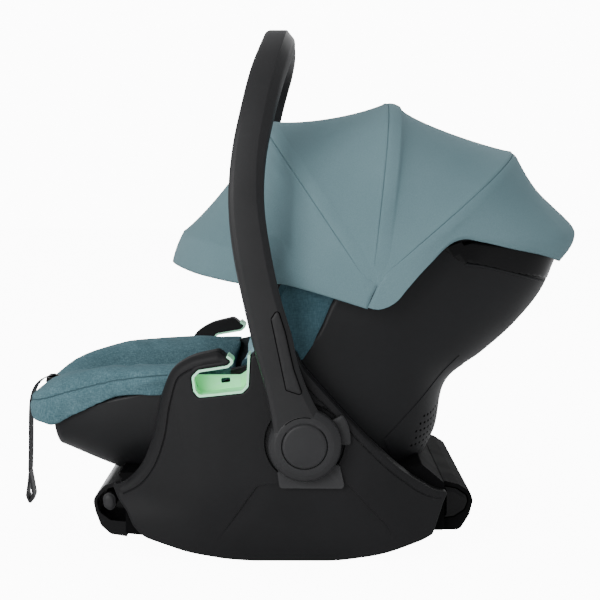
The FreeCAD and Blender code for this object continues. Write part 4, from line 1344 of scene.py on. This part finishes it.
def make_side_wing(side_name, side):
    """Padded wing; its face leans in towards the top."""
    wing = domed_lid("side_wing_" + side_name, rounded(SIDE_WING, 2.5), side,
                     lambda flat: np.interp(flat[:, 1], [222, 320], [166.0, 160.0]), 148.0, 5.0, 9, 2,
                     4.0, (0.5, 1.5, 3.0, 5.0, 7.5))
    shade_by_angle(wing, 60)
    dress(wing, "shell", WING_CLOTH)


for side_name, side in SIDES:
    make_side_wing(side_name, side)

# ------------------------------------------------------------------ harness webbing
SHOULDER_PATH = [(108, 180), (84, 139), (28, 111), (12, 112)]
CROTCH_PATH = [(-59, 123), (-69, 118), (-84, 119)]


def webbing_path(path, y, count=60):
    """Middle line of webbing that lies to the left of a path (x, z), 2 mm thick."""
    flat = smooth_path(path, count)
    run = np.gradient(flat, axis=0)
    run /= np.linalg.norm(run, axis=1)[:, None]
    flat = flat + np.stack([-run[:, 1], run[:, 0]], axis=1)
    return np.stack([flat[:, 0], np.full(count, float(y)), flat[:, 1]], axis=1)


for side_name, side in SIDES:
    strap = ribbon("shoulder_webbing_" + side_name, webbing_path(SHOULDER_PATH, 40 * side), 38, 1.9)
    dress(strap, "shell", WEBBING, ["shoulder_strap_" + side_name])
strap = ribbon("crotch_webbing", webbing_path(CROTCH_PATH, 0), 30, 1.9)
dress(strap, "shell", WEBBING, ["crotch_strap"])

# ------------------------------------------------------------------ shell trim
VENT_WINDOW = [(96, 130), (184, 222), (198, 200), (196, 120), (150, 98), (108, 100)]
HOLE_WINDOW = np.array([(124, 113), (140, 150), (158, 168), (196, 172), (190, 108)])
CROWN_WINDOW = [(152, 354), (184, 330), (226, 322), (276, 309), (312, 304), (314, 336), (262, 360)]


def shell_patch(name, window, proud, thick):
    """A skin on the outside of the shell, trimmed to a convex window (x, z)."""
    work = bmesh.new()
    work.from_mesh(shell_skin)
    middle = np.mean(window, axis=0)
    for (xa, za), (xb, zb) in zip(window, window[1:] + window[:1]):
        across = Vector((zb - za, 0, xa - xb)).normalized()
        if (middle[0] - xa) * across.x + (middle[1] - za) * across.z > 0:
            across = -across
        bmesh.ops.bisect_plane(work, geom=work.verts[:] + work.edges[:] + work.faces[:],
                               plane_co=Vector((xa, 0, za)) * MM, plane_no=across,
                               clear_outer=True)
    work.normal_update()
    for vert in work.verts:
        vert.co += vert.normal * proud * MM
    mesh = bpy.data.meshes.new(name)
    work.to_mesh(mesh)
    work.free()
    mesh.shade_smooth()
    obj = bpy.data.objects.new(name, mesh)
    SCENE.collection.objects.link(obj)
    if thick:
        solidify(obj, thick)
        apply_modifiers(obj)
    return obj


def hole_cutters():
    """Short pegs square to the shell, in a staggered field round its lower back."""
    points, faces = [], []
    rows = respaced(bucket_surface(SHELL_STATIONS, 140, 95))
    for i in range(1, len(rows) - 1):
        for j in range(1 + i % 2, rows.shape[1] - 1, 2):
            place = rows[i][j]
            if place[2] < 100 or place[0] < 100 or not inside(place[None, [0, 2]], HOLE_WINDOW)[0]:
                continue
            normal = np.cross(rows[i + 1][j] - rows[i - 1][j], rows[i][j + 1] - rows[i][j - 1])
            normal /= np.linalg.norm(normal)
            side = np.cross(normal, (0.3, 0.4, 0.86))
            side /= np.linalg.norm(side)
            up = np.cross(normal, side)
            first = len(points)
            for depth in (-3.0, 3.0):
                for k in range(10):
                    turn = 2 * math.pi * k / 10
                    points.append(place + normal * depth
                                  + 1.75 * (side * math.cos(turn) + up * math.sin(turn)))
            faces += [(first + k, first + (k + 1) % 10, first + 10 + (k + 1) % 10, first + 10 + k)
                      for k in range(10)]
            faces += [tuple(first + k for k in range(9, -1, -1)),
                      tuple(first + 10 + k for k in range(10))]
    return outward(new_mesh("pegs", points, faces, smooth=False))


cutters = hole_cutters()
vent = shell_patch("vent_grille", VENT_WINDOW, 0.65, 0.5)
cut = vent.modifiers.new("holes", "BOOLEAN")
cut.object = cutters
cut.solver = "EXACT"
apply_modifiers(vent)
bpy.data.objects.remove(cutters)
shade_by_angle(vent, 40)
dress(vent, "shell", SHELL_BLACK, ["vent_panel"])
# Painted shade in the vent holes: a near-black skin just under the grille shows through them.
vent_painted_shade = shell_patch("vent_grille_painted_shade", VENT_WINDOW, 0.12, 0)
dress(vent_painted_shade, "shell", PAINTED_SHADE_BLACK)
crown = shell_patch("crown_trim_band", CROWN_WINDOW, 0.6, 0.5)
dress(crown, "shell", GLOSS_BLACK, ["crown_trim"])

for side_name, side in SIDES:
    ridge = []
    for x, z in smooth_path([(186, 330), (204, 327.5), (226, 322.5), (252, 315.5), (284, 306.5)], 60):
        place, normal = hit(SHELL_SURFACE, x, z, side)
        if place is not None:
            ridge.append(place + normal * 0.3)
    bead = tube("crown_ridge_" + side_name, ridge, 1.5, 10)
    dress(bead, "shell", SHELL_BLACK)

# ------------------------------------------------------------------ docks
FRONT_LUG = [(-217.5, 71, 7), (-210.5, 66, 6), (-210, 54, 6), (-216, 48.5, 6), (-223.5, 54, 6),
             (-224.5, 66, 6)]
REAR_LID = [(163.5, 77.5, 2), (177, 75, 6), (188.5, 67.5, 5), (190.5, 60.5, 5), (186.5, 51, 5),
            (175, 43.5, 5), (163.5, 42, 2)]


def boss(name, corners, side, face_y, back_y, crown_height, material):
    """A low domed lid over the end of a dock."""
    lid = domed_lid(name, rounded(corners, 1.2), side, face_y, back_y, crown_height, 5, 2,
                    2.5, (0.2, 0.6, 1.2, 2.2, 3.5))
    shade_by_angle(lid, 60)
    dress(lid, "shell", material)


for side_name, side in SIDES:
    boss("front_dock_lug_" + side_name, FRONT_LUG, side, 152.5, 119, 2.5, BRACKET_GREY)
    boss("rear_dock_lid_" + side_name, REAR_LID, side, 152.5, 146, 1.5, GLOSS_BLACK)

# ------------------------------------------------------------------ carried-over CAD nodes
# Material and edge radius of each CAD node that is shown as it is; * stands for left and right.
CARRIED = {
    "hub_bracket_*": (BRACKET_GREY, 0.8), "base_tub": (DOCK_BLACK, 1.0),
    "front_dock_housing": (GLOSS_BLACK, 1.5), "rear_dock_housing": (DOCK_BLACK, 1.5),
    "front_dock_bar": (COATED_STEEL, 0.6), "rear_dock_bar": (COATED_STEEL, 0.6),
    "base_screws": (STEEL, 0.3), "belt_guide_*": (MINT, 0.8), "pivot_pin_*": (STEEL, 0.5),
    "canopy_pin_*": (SHELL_BLACK, 0.5), "visor_bow": (BOW_GREY, 0.5), "front_bow": (BOW_GREY, 0.5),
    "middle_bow": (BOW_GREY, 0.5), "rear_bow": (BOW_GREY, 0.5), "lock_gear_*": (STEEL, 0.3),
    "buckle_body": (GLOSS_BLACK, 1.0), "buckle_button": (KEY_RED, 0.7),
    "buckle_tongue_*": (STEEL, 0.4), "adjuster_plate": (GLOSS_BLACK, 0.8),
    "adjuster_button": (HANDLE_BLACK, 0.7), "pull_loop": (HANDLE_BLACK, 0.6),
    "headrest_shell": (SHELL_BLACK, 1.2), "foam_liner": (FOAM, 0.0),
}
for pattern, (material, width) in CARRIED.items():
    for node_name in sorted({pattern.replace("*", side_name) for side_name, _ in SIDES}):
        node = NODES[node_name]
        node.data.materials.clear()
        node.data.materials.append(material)
        if width:
            bevel(node, width)
